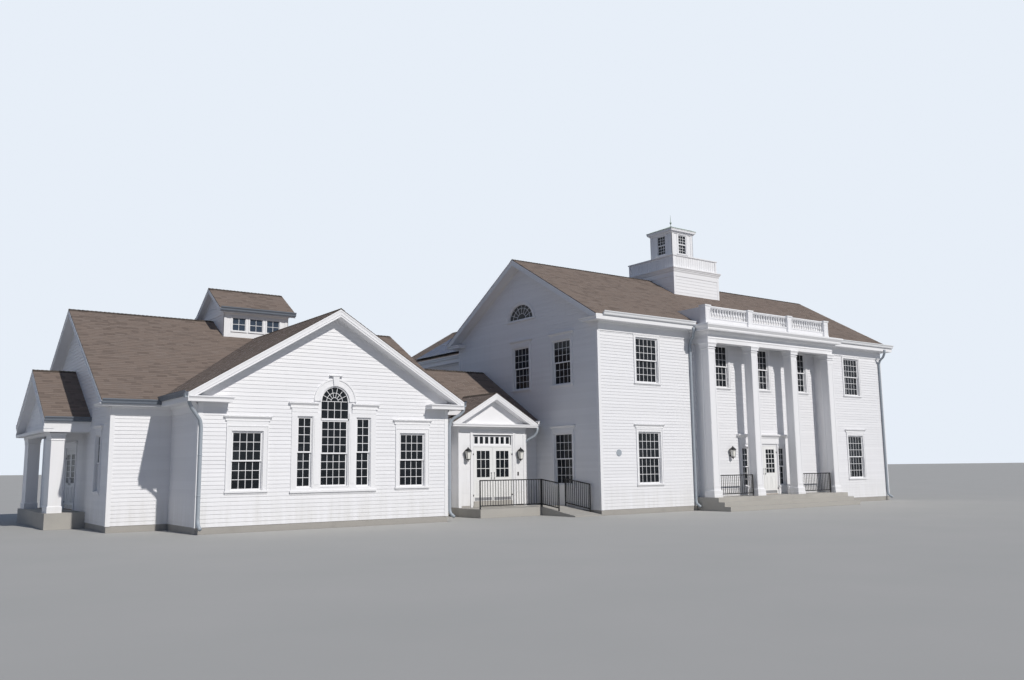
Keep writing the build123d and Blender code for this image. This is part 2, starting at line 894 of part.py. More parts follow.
def cupola():
    base = square_tier(cupola_base_size, main_eave, cupola_base_top)
    base -= square_tier(cupola_base_size - 2 * wall_thickness, main_eave - 1, cupola_base_top + 1)
    base -= main_roof.below(0, main_length, main_overhang)
    deck_top = cupola_base_top + cupola_cornice_height
    cornice = square_tier(cupola_base_size + 2 * cupola_cornice_proud, cupola_base_top + 60, deck_top)
    cornice += square_tier(cupola_base_size + cupola_cornice_proud, cupola_base_top, cupola_base_top + 60)
    parts["cupola_base"] = base + cornice

    half = parapet_size / 2
    short = half - parapet_board - foundation_joint
    panels = []
    for side in (-1, 1):
        x = cupola_middle + side * (half - parapet_board / 2)
        y = main_half + side * (half - parapet_board / 2)
        thin = parapet_board / 2
        top = deck_top + parapet_height
        panels.append(box(x - thin, x + thin, main_half - half, main_half + half, deck_top, top))
        panels.append(box(cupola_middle - short, cupola_middle + short, y - thin, y + thin, deck_top, top))
    parts["cupola_parapet"] = separate(panels)

    lantern = square_tier(lantern_size, deck_top, lantern_top)
    lantern -= square_tier(lantern_size - 2 * lantern_wall, deck_top, lantern_top)
    half_window = lantern_window_width / 2
    reach = lantern_size
    lantern -= box(
        cupola_middle - half_window,
        cupola_middle + half_window,
        main_half - reach,
        main_half + reach,
        lantern_window_bottom,
        lantern_window_top,
    )
    lantern -= box(
        cupola_middle - reach,
        cupola_middle + reach,
        main_half - half_window,
        main_half + half_window,
        lantern_window_bottom,
        lantern_window_top,
    )
    parts["cupola_lantern"] = lantern
    inner = lantern_size / 2 - lantern_wall / 2
    for facing, x, y in ((front, 0, -inner), (rear, 0, inner), (left, -inner, 0), (right, inner, 0)):
        pane = box(-half_window, half_window, 0, glass_thickness, lantern_window_bottom, lantern_window_top)
        window_glass.append(spot(cupola_middle + x, main_half + y, facing) * pane)

    eave_top = lantern_top + lantern_eave_height
    eave_half = lantern_size / 2 + lantern_eave_proud
    apex = eave_top + lantern_roof_rise
    levels = ((lantern_top, eave_half), (eave_top, eave_half), (apex, finial_radius))
    cap = faceted([ring(cupola_middle, main_half, z, half, 4) for z, half in levels])
    ball_middle = apex + finial_height * 0.3
    ball = finial_ball_radius
    levels = (
        (apex, finial_radius),
        (ball_middle - ball, finial_radius),
        (ball_middle - ball / 2, ball),
        (ball_middle + ball / 2, ball),
        (ball_middle + ball, finial_radius),
        (apex + finial_height, finial_radius / 2),
    )
    finial = faceted([ring(cupola_middle, main_half, z, half, 8) for z, half in levels])
    parts["cupola_roof"] = cap + finial


def wing():
    t = wall_thickness
    set_back = [
        wall_run(wing_roof, wing_left + t, cross_left, wing_front, wing_front + t),
        wall_run(wing_roof, cross_right, wing_right - t, wing_front, wing_front + t),
    ]
    parts["wing_wall_front"] = separate(set_back)
    gable_front = wall_run(cross_roof, cross_front, cross_front + t, cross_left, cross_right)
    parts["wing_cross_gable"] = cut_all(gable_front, window_cutters) - palladian_opening()
    sides = [
        wall_run(cross_roof, cross_front + t, wing_front + t, cross_left, cross_left + t),
        wall_run(cross_roof, cross_front + t, wing_front + t, cross_right - t, cross_right),
    ]
    parts["wing_cross_sides"] = separate(sides)
    door_low = wing_middle_y - side_door_width / 2
    door_high = wing_middle_y + side_door_width / 2
    head = floor_level + door_height
    gable_left = [
        wall_run(wing_roof, wing_left, wing_left + t, wing_front, door_low),
        wall_run(wing_roof, wing_left, wing_left + t, door_high, wing_rear),
    ]
    parts["wing_wall_left"] = separate([cut_all(piece, window_cutters) for piece in gable_left])
    parts["wing_wall_over_side_door"] = wall_run(wing_roof, wing_left, wing_left + t, door_low, door_high, head)
    parts["wing_gable_right"] = wall_run(wing_roof, wing_right - t, wing_right, wing_front, wing_rear)
    rear_wall = wall_run(wing_roof, wing_left + t, wing_right - t, wing_rear - t, wing_rear)
    parts["wing_wall_rear"] = cut_all(rear_wall, window_cutters)

    slopes = [wing_roof.slope(side, wing_left - wing_overhang, wing_right + wing_overhang) for side in (-1, 1)]
    slopes[0] -= cross_roof.inside(cross_front, wing_middle_y)
    slopes = [slope - monitor_shaft() for slope in slopes]
    parts["wing_roof"] = separate(slopes)
    wing_body = wing_roof.below(wing_left, wing_right, wing_overhang)
    cross_slopes = [
        cross_roof.slope(side, cross_front - cross_overhang, wing_middle_y) - wing_body for side in (-1, 1)
    ]
    parts["wing_cross_roof"] = separate(cross_slopes)


def monitor_shaft():
    half_length = monitor_length / 2 - monitor_wall
    half_width = monitor_width / 2 - monitor_wall
    middle = (wing_left + wing_right) / 2 - 50
    return box(
        middle - half_length,
        middle + half_length,
        wing_middle_y - half_width,
        wing_middle_y + half_width,
        wing_eave,
        wing_ridge + 1000,
    )


def wing_cornice():
    outer = wing_overhang - trim_setback
    cross_outer = cross_overhang - trim_setback
    trim = [
        wing_roof.eave(-1, wing_left, cross_left, wing_soffit, wing_frieze_bottom),
        wing_roof.eave(-1, cross_right, vestibule_left - vestibule_overhang, wing_soffit, wing_frieze_bottom),
        wing_roof.eave(1, wing_left, wing_right, wing_soffit, wing_frieze_bottom),
    ]
    for side in (-1, 1):
        trim.append(wing_roof.rake(side, wing_left - outer, wing_left))
        trim.append(wing_roof.eave_return(side, wing_left - outer, wing_left, wing_soffit, main_return))
        trim.append(cross_roof.rake(side, cross_front - cross_outer, cross_front))
        trim.append(
            cross_roof.eave_return(side, cross_front - cross_outer, cross_front, wing_soffit, cross_return)
        )
        trim.append(
            cross_roof.eave(side, cross_front, wing_front - wing_overhang, wing_soffit, wing_frieze_bottom)
        )
    trim.append(wing_roof.rake(1, wing_right, wing_right + outer))
    upper_rake = wing_roof.rake(-1, wing_right, wing_right + outer)
    trim.append(upper_rake)
    trim.append(wing_roof.eave_return(1, wing_right, wing_right + outer, wing_soffit, main_return))
    parts["wing_cornice"] = separate(trim)


def palladian_opening():
    """Three lights joined under one arch: the hole through the cross gable's wall."""
    wide = palladian_arch_radius
    y0 = cross_front - wall_thickness
    y1 = cross_front + 2 * wall_thickness
    middle = palladian_middle
    hole = box(middle - wide, middle + wide, y0, y1, palladian_bottom, palladian_spring)
    arch = Pos(middle, cross_front, palladian_spring) * Rot(90, 0, 0) * Cylinder(wide, 4 * wall_thickness)
    hole += arch & box(middle - wide, middle + wide, y0, y1, palladian_spring, wing_ridge)
    half_side = palladian_side_width / 2
    for side in (-1, 1):
        x = middle + side * palladian_side_offset
        hole += box(x - half_side, x + half_side, y0, y1, palladian_side_bottom, palladian_side_top)
    return hole


def palladian():
    middle = palladian_middle
    wall = cross_front
    inner_radius = palladian_arch_radius - sash_rail
    frame = palladian_opening() & box(
        middle - 3000, middle + 3000, wall - casing_proud, wall + wall_thickness, 0, wing_ridge
    )
    frame += box(
        middle - palladian_frame_half,
        middle + palladian_frame_half,
        wall - casing_proud,
        wall,
        palladian_sill_bottom,
        palladian_head_bottom,
    )
    head_top = palladian_head_bottom + palladian_head_height
    frame += box(
        middle - palladian_head_half,
        middle + palladian_head_half,
        wall - 2.5 * casing_proud,
        wall,
        palladian_head_bottom,
        head_top,
    )
    outer = palladian_arch_radius + palladian_arch_casing
    ring = Pos(middle, wall, palladian_spring) * Rot(90, 0, 0) * Cylinder(outer, 2 * casing_proud)
    frame += ring & box(middle - outer, middle + outer, wall - casing_proud, wall, head_top, wing_ridge)
    frame += box(middle - outer, middle + outer, wall - casing_proud, wall, palladian_head_bottom, palladian_spring)
    y0 = wall - 3 * wall_thickness
    y1 = wall + 3 * wall_thickness
    hole = Pos(middle, wall, palladian_spring) * Rot(90, 0, 0) * Cylinder(inner_radius, 6 * wall_thickness)
    hole = hole & box(middle - outer, middle + outer, y0, y1, palladian_spring, wing_ridge)
    hole += box(
        middle - inner_radius,
        middle + inner_radius,
        y0,
        y1,
        palladian_bottom + sash_rail,
        palladian_spring,
    )
    half_side = palladian_side_width / 2 - sash_rail
    for side in (-1, 1):
        x = middle + side * palladian_side_offset
        hole += box(x - half_side, x + half_side, y0, y1, palladian_side_bottom + 50, palladian_side_top - 50)
    frame -= hole
    key_bottom = palladian_spring + palladian_arch_radius
    frame += box(
        middle - palladian_keystone_width / 2,
        middle + palladian_keystone_width / 2,
        wall - 2.5 * casing_proud,
        wall,
        key_bottom,
        key_bottom + palladian_keystone_height,
    )
    frame += box(
        middle - palladian_frame_half - 40,
        middle + palladian_frame_half + 40,
        wall - sill_proud,
        wall,
        palladian_sill_bottom - 60,
        palladian_sill_bottom,
    )
    window_frames.append(frame)
    glass_front = wall + wall_thickness / 2
    pane = hole & box(middle - 3000, middle + 3000, glass_front, glass_front + glass_thickness, 0, wing_ridge)
    window_glass.extend(pane.solids())


def monitor():
    middle = (wing_left + wing_right) / 2 - 50
    half_length = monitor_length / 2
    half_width = monitor_width / 2
    top = monitor_eave - 200
    y0 = wing_middle_y - half_width
    y1 = wing_middle_y + half_width
    ridge = monitor_eave + monitor_rise
    pitch = monitor_rise / (half_width + monitor_overhang)
    gable = Gable(
        "x", middle - half_length, middle + half_length, y0, y1, wing_middle_y, ridge, pitch, monitor_overhang
    )
    x0 = middle - half_length
    x1 = middle + half_length
    body = gable.inside(x0, x1)
    t = monitor_wall
    body -= box(x0 + t, x1 - t, y0 + t, y1 - t, 0, ridge + 1)
    half_window = monitor_window_width / 2
    for index in (-1, 0, 1):
        x = middle + index * monitor_window_pitch
        body -= box(x - half_window, x + half_window, y0 - 500, y1 + 500, monitor_window_bottom, monitor_window_top)
        for facing, wall in ((front, y0), (rear, y1)):
            pane = box(
                -half_window,
                half_window,
                monitor_wall / 2,
                monitor_wall / 2 + glass_thickness,
                monitor_window_bottom,
                monitor_window_top,
            )
            window_glass.append(spot(x, wall, facing) * pane)
    body -= wing_roof.below(wing_left, wing_right, 0)
    parts["monitor_walls"] = body
    reach = monitor_overhang
    parts["monitor_roof"] = separate([gable.slope(side, x0 - reach, x1 + reach) for side in (-1, 1)])


def side_porch():
    x0 = side_porch_left
    low = side_porch_low
    high = side_porch_high
    parts["side_porch_floor"] = box(x0 - 100, wing_left, low - 100, high + 100, 0, porch_level)
    piers = []
    for y0, y1 in ((low, low + side_porch_pier_depth), (high - side_porch_pier_depth, high)):
        pier = box(x0, x0 + side_porch_pier_width, y0, y1, porch_level, side_porch_beam_bottom)
        capital_bottom = side_porch_beam_bottom - pier_capital_height
        pier += box(
            x0 - 20,
            x0 + side_porch_pier_width + 20,
            y0 - 20,
            y1 + 20,
            capital_bottom,
            side_porch_beam_bottom,
        )
        piers.append(pier)
    parts["side_porch_piers"] = separate(piers)
    beam = side_porch_gable.inside(x0, wing_left) & box(x0, wing_left, low, high, side_porch_beam_bottom, wing_ridge)
    inner_under = side_porch_beam_bottom + 200
    beam -= box(
        x0 + side_porch_pier_width,
        wing_left + 1,
        low + side_porch_pier_width,
        high - side_porch_pier_width,
        0,
        inner_under,
    )
    outer = side_porch_overhang - trim_setback
    beam += side_porch_gable.rake(-1, x0 - outer, x0)
    beam += side_porch_gable.rake(1, x0 - outer, x0)
    cornice_bottom = side_porch_eave - roof_depth - rake_depth
    beam += box(x0 - outer, x0, low - outer, high + outer, cornice_bottom - 100, cornice_bottom)
    for side in (-1, 1):
        beam += side_porch_gable.eave(side, x0, wing_left, cornice_bottom - 100, side_porch_beam_bottom + 100)
    parts["side_porch_entablature"] = beam
    slopes = [side_porch_gable.slope(side, x0 - side_porch_overhang, wing_left) for side in (-1, 1)]
    parts["side_porch_roof"] = separate(slopes)


def link():
    t = wall_thickness
    pieces = [
        wall_run(link_roof, vestibule_right, 0, wing_front, wing_front + t),
        wall_run(link_roof, wing_right, 0, link_rear - t, link_rear),
    ]
    parts["link_walls"] = separate(pieces)
    slopes = [link_roof.slope(side, wing_right, 0) for side in (-1, 1)]
    slopes[0] -= vestibule_roof.inside(vestibule_front, link_ridge_y)
    parts["link_roof"] = separate(slopes)

    side_start = vestibule_front + t + foundation_joint
    sides = [
        wall_run(vestibule_roof, side_start, wing_front, vestibule_left, vestibule_left + t),
        wall_run(vestibule_roof, side_start, wing_front + t, vestibule_right - t, vestibule_right),
    ]
    door_left = vestibule_middle - vestibule_door_width / 2
    door_right = vestibule_middle + vestibule_door_width / 2
    jambs = [
        wall_run(vestibule_roof, vestibule_front, vestibule_front + t, vestibule_left, door_left),
        wall_run(vestibule_roof, vestibule_front, vestibule_front + t, door_right, vestibule_right),
    ]
    parts["vestibule_walls"] = separate(sides + jambs)
    gable = wall_run(vestibule_roof, vestibule_front, vestibule_front + t, door_left, door_right, transom_top)
    parts["vestibule_gable"] = gable

    under_wing = box(
        vestibule_left - 1000,
        wing_right + wing_overhang,
        wing_front - wing_overhang,
        link_ridge_y,
        0,
        wing_ridge,
    )
    link_body = link_roof.below(wing_right - 1000, 0, wing_overhang)
    vestibule_slopes = []
    for side in (-1, 1):
        slab = vestibule_roof.slope(side, vestibule_front - vestibule_gable_overhang, link_ridge_y)
        vestibule_slopes.append(slab - link_body - under_wing)
    parts["vestibule_roof"] = separate(vestibule_slopes)

    outer = vestibule_gable_overhang - trim_setback
    front_edge = vestibule_front - outer
    side_reach = vestibule_overhang - trim_setback
    trim = vestibule_roof.rake(-1, front_edge, vestibule_front)
    trim += vestibule_roof.rake(1, front_edge, vestibule_front)
    base_top = vestibule_roof.under(vestibule_left - side_reach) - rake_depth
    trim += box(
        vestibule_left - side_reach,
        vestibule_right + side_reach,
        front_edge,
        vestibule_front,
        base_top - 90,
        base_top + 1,
    )
    parts["vestibule_pediment"] = trim


def hinge_levels():
    """Heights of the middles of a leaf's hinges."""
    return (floor_level + hinge_inset, floor_level + door_height - hinge_inset)


def knuckle(bottom, top):
    """Eight sided hinge knuckle on the axis of a leaf whose edge is at x = 0."""
    x = -door_gap / 2
    y = -hinge_axis_out
    return faceted([ring(x, y, z, hinge_knuckle_radius, 8) for z in (bottom, top)])


def hinge_fixed_halves():
    """Lower knuckles and their straps on the jamb: the leaf's knuckles stand on them."""
    x = -door_gap / 2
    halves = []
    for level in hinge_levels():
        bottom = level - hinge_half_height
        strap = box(x - hinge_strap, x, -hinge_strap_thickness, 0, bottom, level)
        halves.append(knuckle(bottom, level) + strap)
    return halves


def door_leaf(width, hinge_side):
    """One leaf, drawn with its hinge edge at x = 0 and its outer face at y = 0."""
    bottom = floor_level + door_gap
    top = floor_level + door_height - door_gap
    leaf = box(0, width, 0, door_thickness, bottom, top)
    stile = 130
    lite_width = width - 2 * stile
    lite_bottom = bottom + 900
    leaf -= box(stile, stile + lite_width, 0, door_lite_depth, lite_bottom, top - stile)
    leaf -= box(
        stile,
        stile + lite_width,
        door_thickness - door_lite_depth,
        door_thickness,
        lite_bottom,
        top - stile,
    )
    x = width - pull_inset
    level = floor_level + pull_level
    half = pull_thickness / 2
    reach = pull_standoff + pull_thickness
    leaf += box(x - half, x + half, -reach, -pull_standoff, level - pull_height / 2, level + pull_height / 2)
    for end in (-1, 1):
        z = level + end * (pull_height / 2 - pull_thickness)
        leaf += box(x - half, x + half, -reach, 0, z - half, z + half)
    for level in hinge_levels():
        low = level + hinge_end_gap
        high = level + hinge_end_gap + hinge_half_height
        leaf += knuckle(low, high)
        leaf += box(-door_gap / 2, hinge_strap, -hinge_strap_thickness, 0, low, high)
    if hinge_side > 0:
        leaf = mirror(leaf, about=Plane.YZ)
    return leaf


def door_pair(name, place, opening):
    width = (opening - 2 * door_gap - meeting_gap) / 2
    for side, word in ((-1, "left"), (1, "right")):
        leaf = door_leaf(width, side)
        hinge = side * (opening / 2 - door_gap)
        parts[f"{name}_door_{word}"] = place * Pos(hinge, 0, 0) * leaf
        for half in hinge_fixed_halves():
            if side > 0:
                half = mirror(half, about=Plane.YZ)
            door_hinges.append(place * Pos(hinge, 0, 0) * half)


def doors():
    door_pair("main", spot(portico_middle, 0, front), main_door_width)
    door_pair("vestibule", spot(vestibule_middle, vestibule_front, front), vestibule_door_width)
    door_pair("side", spot(wing_left, wing_middle_y, left), side_door_width)
    head = floor_level + door_height
    half = vestibule_door_width / 2
    place = spot(vestibule_middle, vestibule_front, front)
    frame = box(-half, half, 0, wall_thickness, head, transom_top)
    frame -= box(-half + 40, half - 40, -1, wall_thickness + 1, head + transom_bar, transom_top - 60)
    window_frames.append(place * frame)
    pane = box(
        -half + 40,
        half - 40,
        wall_thickness / 2,
        wall_thickness / 2 + glass_thickness,
        head + transom_bar,
        transom_top - 60,
    )
    window_glass.append(place * pane)


def wall_lantern(place):
    """Lantern on a wall: back plate arm, glazed body and a pointed cap."""
    z = lantern_middle_height
    half = lantern_body_width / 2
    body = box(
        -half,
        half,
        -lantern_standoff - lantern_body_width,
        -lantern_standoff,
        z - lantern_body_height / 2,
        z + lantern_body_height / 2,
    )
    body += box(-40, 40, -lantern_standoff, 0, z - 60, z + 60)
    eave = z + lantern_body_height / 2
    levels = ((eave, half + lantern_cap_proud), (eave + lantern_cap_height, lantern_cap_proud / 2))
    body += faceted([ring(0, -lantern_standoff - half, level, reach, 4) for level, reach in levels])
    return place * body


def wall_lanterns():
    offset = (vestibule_door_width / 2 + (vestibule_right - vestibule_left) / 2) / 2
    lamps = []
    for side in (-1, 1):
        lamps.append(wall_lantern(spot(vestibule_middle + side * offset, vestibule_front, front)))
        lamps.append(wall_lantern(spot(portico_middle + side * 2200, 0, front)))
    parts["wall_lanterns"] = separate(lamps)


def railing(axis, across, start, end, foot_start, foot_end, height):
    """Picket railing with end posts along x or y; its foot line follows the walking surface."""
    half_post = railing_post / 2
    half_bar = railing_bar / 2
    length = end - start
    count = round(length / railing_pitch)

    def bar(along, half, bottom, top):
        if axis == "x":
            return box(along - half, along + half, across - half, across + half, bottom, top)
        return box(across - half, across + half, along - half, along + half, bottom, top)

    shape = None
    for height_up in (railing_bottom_gap, height - railing_post):
        outline = [
            (start, foot_start + height_up),
            (end, foot_end + height_up),
            (end, foot_end + height_up + railing_post),
            (start, foot_start + height_up + railing_post),
        ]
        rail = prism("y" if axis == "x" else "x", outline, across - half_post, across + half_post)
        shape = rail if shape is None else shape + rail
    for index in range(1, count):
        along = start + length * index / count
        foot = foot_start + (foot_end - foot_start) * index / count
        shape = shape + bar(along, half_bar, foot + railing_bottom_gap + 10, foot + height - 10)
    for along, foot in ((start, foot_start), (end, foot_end)):
        inward = half_post if along == start else -half_post
        shape = shape + bar(along + inward, half_post, foot, foot + height)
    return shape


def ramp():
    """Landing at the vestibule doors, a short ramp down beside the main block, and their railings."""
    front_edge = vestibule_front - landing_length
    x1 = -ramp_gap
    x0 = x1 - ramp_width
    landing = box(vestibule_left, x1, front_edge, vestibule_front, 0, landing_level)
    ramp_head = front_edge - foundation_joint
    ramp_end = ramp_head - ramp_length
    slope = prism("x", [(ramp_head, 0), (ramp_head, landing_level), (ramp_end, ramp_foot), (ramp_end, 0)], x0, x1)
    parts["entrance_ramp"] = separate([landing, slope])

    inset = railing_inset + railing_post / 2
    fall = (landing_level - ramp_foot) / ramp_length
    start = front_edge + inset + railing_post / 2
    sides = []
    for x, length in ((x0 + inset, near_railing_length), (x1 - inset, far_railing_length)):
        foot = landing_level - fall * length
        sides.append(railing("y", x, ramp_head - length, start, foot, landing_level, railing_height))
    parts["ramp_railing"] = separate([side - slope for side in sides])
    across = front_edge + inset
    parts["landing_railing"] = railing(
        "x", across, vestibule_left, x0 + railing_inset - foundation_joint, landing_level, landing_level, railing_height
    )


def porch_railings():
    """Railings that close the portico's outer bays between the square piers."""
    across = -portico_projection + pier_size / 2
    base = pier_size / 2 + pier_capital_proud
    panels = []
    for side in (-1, 1):
        inner = portico_middle + side * (portico_bay / 2 + base)
        outer = portico_middle + side * (portico_bays * portico_bay / 2 - base)
        low = min(inner, outer)
        high = max(inner, outer)
        panels.append(railing("x", across, low, high, porch_level, porch_level, porch_railing_height))
    parts["porch_railings"] = separate(panels)


set_windows()
foundation()
floors()
main_block()
main_cornice()
ell()
solar_panels()
portico()
balustrade()
cupola()
wing()
wing_cornice()
palladian()
monitor()
side_porch()
link()
doors()
wall_lanterns()
ramp()
porch_railings()
parts["window_frames"] = separate(window_frames)
parts["window_glass"] = separate(window_glass)
parts["door_hinges"] = separate(door_hinges)

os.makedirs("parts", exist_ok=True)
for name, shape in parts.items():
    export_step(Pos(*(-plan_middle)) * shape, f"parts/{name}.step")
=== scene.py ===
import random
from math import ceil, cos, hypot, pi, radians, sin
import bpy
from mathutils import Matrix, Vector


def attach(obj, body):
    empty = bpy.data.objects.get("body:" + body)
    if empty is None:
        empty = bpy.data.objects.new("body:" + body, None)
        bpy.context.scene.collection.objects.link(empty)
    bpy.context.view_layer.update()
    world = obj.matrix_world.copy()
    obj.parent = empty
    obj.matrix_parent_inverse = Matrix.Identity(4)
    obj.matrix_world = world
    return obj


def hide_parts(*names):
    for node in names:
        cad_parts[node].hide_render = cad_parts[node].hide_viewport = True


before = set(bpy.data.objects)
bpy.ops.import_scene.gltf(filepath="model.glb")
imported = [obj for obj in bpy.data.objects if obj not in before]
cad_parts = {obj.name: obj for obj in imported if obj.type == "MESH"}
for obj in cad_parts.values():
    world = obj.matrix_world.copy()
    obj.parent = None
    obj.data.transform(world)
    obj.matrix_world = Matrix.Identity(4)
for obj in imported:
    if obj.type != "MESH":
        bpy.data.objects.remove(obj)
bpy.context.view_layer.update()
print("frame loaded,", len(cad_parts), "nodes")

# Everything below is in metres from the front left corner of the main block, as the
# plan is; inRow moves a point to the shared frame, whose origin is mid plan.
planMiddle = (0.81, 8.198)


def inRow(point):
    return (point[0] - planMiddle[0], point[1] - planMiddle[1], point[2])


# Camera

cameraSettings = {
    "place": (-22.854, -25.813, 1.824),
    "yaw": 36.019,  # degrees right of +Y
    "pitch": 8.127,
    "roll": -0.704,
    "lens": 31.46,
    "sensor": 36.0,
}


def makeCamera():
    yaw = radians(cameraSettings["yaw"])
    pitch = radians(cameraSettings["pitch"])
    roll = radians(cameraSettings["roll"])
    level = Vector((sin(yaw), cos(yaw), 0))
    side = Vector((cos(yaw), -sin(yaw), 0))
    forward = level * cos(pitch) + Vector((0, 0, sin(pitch)))
    above = Vector((0, 0, cos(pitch))) - level * sin(pitch)
    right = side * cos(roll) + above * sin(roll)
    above = above * cos(roll) - side * sin(roll)
    data = bpy.data.cameras.new("viewpoint")
    data.lens = cameraSettings["lens"]
    data.sensor_width = cameraSettings["sensor"]
    data.clip_end = 4000
    camera = bpy.data.objects.new("viewpoint", data)
    turn = Matrix((right, above, -forward)).transposed().to_4x4()
    camera.matrix_world = Matrix.Translation(inRow(cameraSettings["place"])) @ turn
    bpy.context.scene.collection.objects.link(camera)
    bpy.context.scene.camera = camera


# Materials


class Signal:
    # a number that varies over a surface; sums on it add Math nodes
    def __init__(self, paint, socket):
        self.paint = paint
        self.socket = socket

    def maths(self, operation, first, second):
        node = self.paint.tree.nodes.new("ShaderNodeMath")
        node.operation = operation
        for socket, item in zip(node.inputs, (first, second)):
            self.paint.feed(socket, item)
        return Signal(self.paint, node.outputs[0])

    def __add__(self, other):
        return self.maths("ADD", self, other)

    def __radd__(self, other):
        return self.maths("ADD", other, self)

    def __sub__(self, other):
        return self.maths("SUBTRACT", self, other)

    def __rsub__(self, other):
        return self.maths("SUBTRACT", other, self)

    def __mul__(self, other):
        return self.maths("MULTIPLY", self, other)

    def __rmul__(self, other):
        return self.maths("MULTIPLY", other, self)

    def __truediv__(self, other):
        return self.maths("DIVIDE", self, other)

    def between(self, low, high):
        # 0 below low, 1 above high
        return self.maths("MINIMUM", self.maths("MAXIMUM", (self - low) / (high - low), 0), 1)


class Paint:
    # a material: fixed values on its shader, and what varies linked in
    def __init__(self, name, **fixed):
        self.material = bpy.data.materials.new(name)
        self.material.use_nodes = True
        self.tree = self.material.node_tree
        self.shader = self.tree.nodes["Principled BSDF"]
        for key, value in fixed.items():
            self.feed(self.shader.inputs[key.replace("_", " ")], value)
        self.place = self.node("ShaderNodeTexCoord", output="Object")

    def feed(self, socket, item):
        if isinstance(item, Signal):
            self.tree.links.new(item.socket, socket)
        elif isinstance(item, tuple) and len(item) == 3 and socket.type == "RGBA":
            socket.default_value = (*item, 1)
        else:
            socket.default_value = item

    def node(self, kind, settings=None, inputs=None, output=0):
        node = self.tree.nodes.new(kind)
        for key, value in (settings or {}).items():
            if key == "stops":
                for index, (at, colour) in enumerate(value):
                    if index > 1:
                        node.color_ramp.elements.new(at)
                    node.color_ramp.elements[index].position = at
                    node.color_ramp.elements[index].color = (*colour, 1)
            else:
                setattr(node, key, value)
        for key, value in (inputs or {}).items():
            self.feed(next(s for s in node.inputs if key in (s.identifier, s.name)), value)
        if output == 0:
            return Signal(self, node.outputs[0])
        return Signal(self, next(s for s in node.outputs if output in (s.identifier, s.name)))

    def noise(self, scale, detail=3.0, stretch=None, roughness=0.55):
        place = self.place
        if stretch:
            scaled = {"Vector": place, "Vector_001": stretch}
            place = self.node("ShaderNodeVectorMath", {"operation": "MULTIPLY"}, scaled)
        return self.node(
            "ShaderNodeTexNoise",
            inputs={"Vector": place, "Scale": scale, "Detail": detail, "Roughness": roughness},
            output="Fac",
        )

    def perPiece(self):
        return self.node("ShaderNodeNewGeometry", output="Random Per Island")

    def height(self):
        return self.node("ShaderNodeSeparateXYZ", inputs={"Vector": self.place}, output="Z")

    def ramp(self, signal, *stops):
        return self.node("ShaderNodeValToRGB", {"stops": stops}, {"Fac": signal})

    def blend(self, first, second, amount, kind="MIX"):
        settings = {"data_type": "RGBA", "blend_type": kind}
        inputs = {"Factor_Float": amount, "A_Color": first, "B_Color": second}
        return self.node("ShaderNodeMix", settings, inputs, "Result_Color")

    def shade(self, colour, signal):
        # colour brightened or darkened by a signal near 1
        grey = self.node("ShaderNodeCombineColor", inputs={"Red": signal, "Green": signal, "Blue": signal})
        return self.blend(colour, grey, 1.0, "MULTIPLY")

    def finished(self, colour, rough, height=None, strength=0.0, distance=0.0):
        self.feed(self.shader.inputs["Base Color"], colour)
        self.feed(self.shader.inputs["Roughness"], rough)
        if height is not None:
            relief = {"Height": height, "Strength": strength, "Distance": distance}
            normal = self.node("ShaderNodeBump", inputs=relief, output="Normal")
            self.feed(self.shader.inputs["Normal"], normal)
        return self.material


def paintBoards(name, base, grime):
    # brushed house paint: board to board tone, brush grain, rain streaks, splash near the ground
    paint = Paint(name)
    blotch = paint.noise(0.7, 2.0)
    streak = paint.noise(1.0, 3.0, stretch=(5.0, 5.0, 0.35))
    tone = 0.955 + paint.perPiece() * 0.05 + blotch * 0.03
    splash = (1 - paint.height().between(0.35, 1.3)) * streak.between(0.35, 0.75)
    colour = paint.shade(base, tone)
    colour = paint.blend(colour, grime, streak.between(0.58, 0.8) * 0.10)
    colour = paint.blend(colour, grime, splash * 0.35)
    grain = paint.noise(40.0, 4.0, stretch=(1.0, 1.0, 9.0))
    return paint.finished(colour, 0.42 + streak * 0.2, grain, 0.25, 0.002)


def paintShingles(name, dark, middle, light):
    # granule covered tabs: each its own tone, fine speckle, weathered patches
    paint = Paint(name, Specular_IOR_Level=0.25)
    tone = paint.perPiece()
    patch = paint.noise(0.55, 3.0)
    streak = paint.noise(1.6, 4.0, stretch=(1.0, 1.0, 0.6))
    granule = paint.noise(420.0, 2.0)
    speck = paint.noise(95.0, 3.0, roughness=0.7)
    mixed = tone * 0.66 + patch * 0.18 + streak * 0.16
    colour = paint.ramp(mixed, (0.18, dark), (0.82, light), (0.5, middle))
    colour = paint.shade(colour, 0.72 + granule * 0.28 + speck * 0.28)
    return paint.finished(colour, 0.86 + granule * 0.12, granule * 0.6 + speck * 0.4, 0.6, 0.003)


def paintStone(name, base, dark, scale):
    paint = Paint(name, Specular_IOR_Level=0.3)
    cloud = paint.noise(0.9 * scale, 4.0)
    grain = paint.noise(60.0 * scale, 4.0, roughness=0.7)
    pits = paint.noise(140.0, 2.0)
    stain = (1 - paint.height().between(0.0, 0.45)) * cloud.between(0.4, 0.7)
    colour = paint.blend(dark, base, (cloud * 0.6 + grain * 0.5).between(0.25, 0.75))
    colour = paint.shade(colour, 1.04 - pits.between(0.6, 0.75) * 0.18)
    colour = paint.blend(colour, dark, stain * 0.45)
    return paint.finished(colour, 0.78 + grain * 0.18, grain * 0.7 + pits * 0.3, 0.45, 0.004)


def paintGlass(name, tint, alpha):
    # old panes: glossy, slightly wavy; the tint given is painted light: the dark shade of the rooms behind
    # on most panes, the sky's reflection on the monitor's
    paint = Paint(name, Specular_IOR_Level=0.22, Alpha=alpha, IOR=1.45)
    wave = paint.noise(2.2, 1.0)
    dust = paint.noise(9.0, 3.0)
    return paint.finished(paint.shade(tint, 0.7 + dust * 0.6), 0.03 + dust * 0.05, wave, 0.06, 0.02)


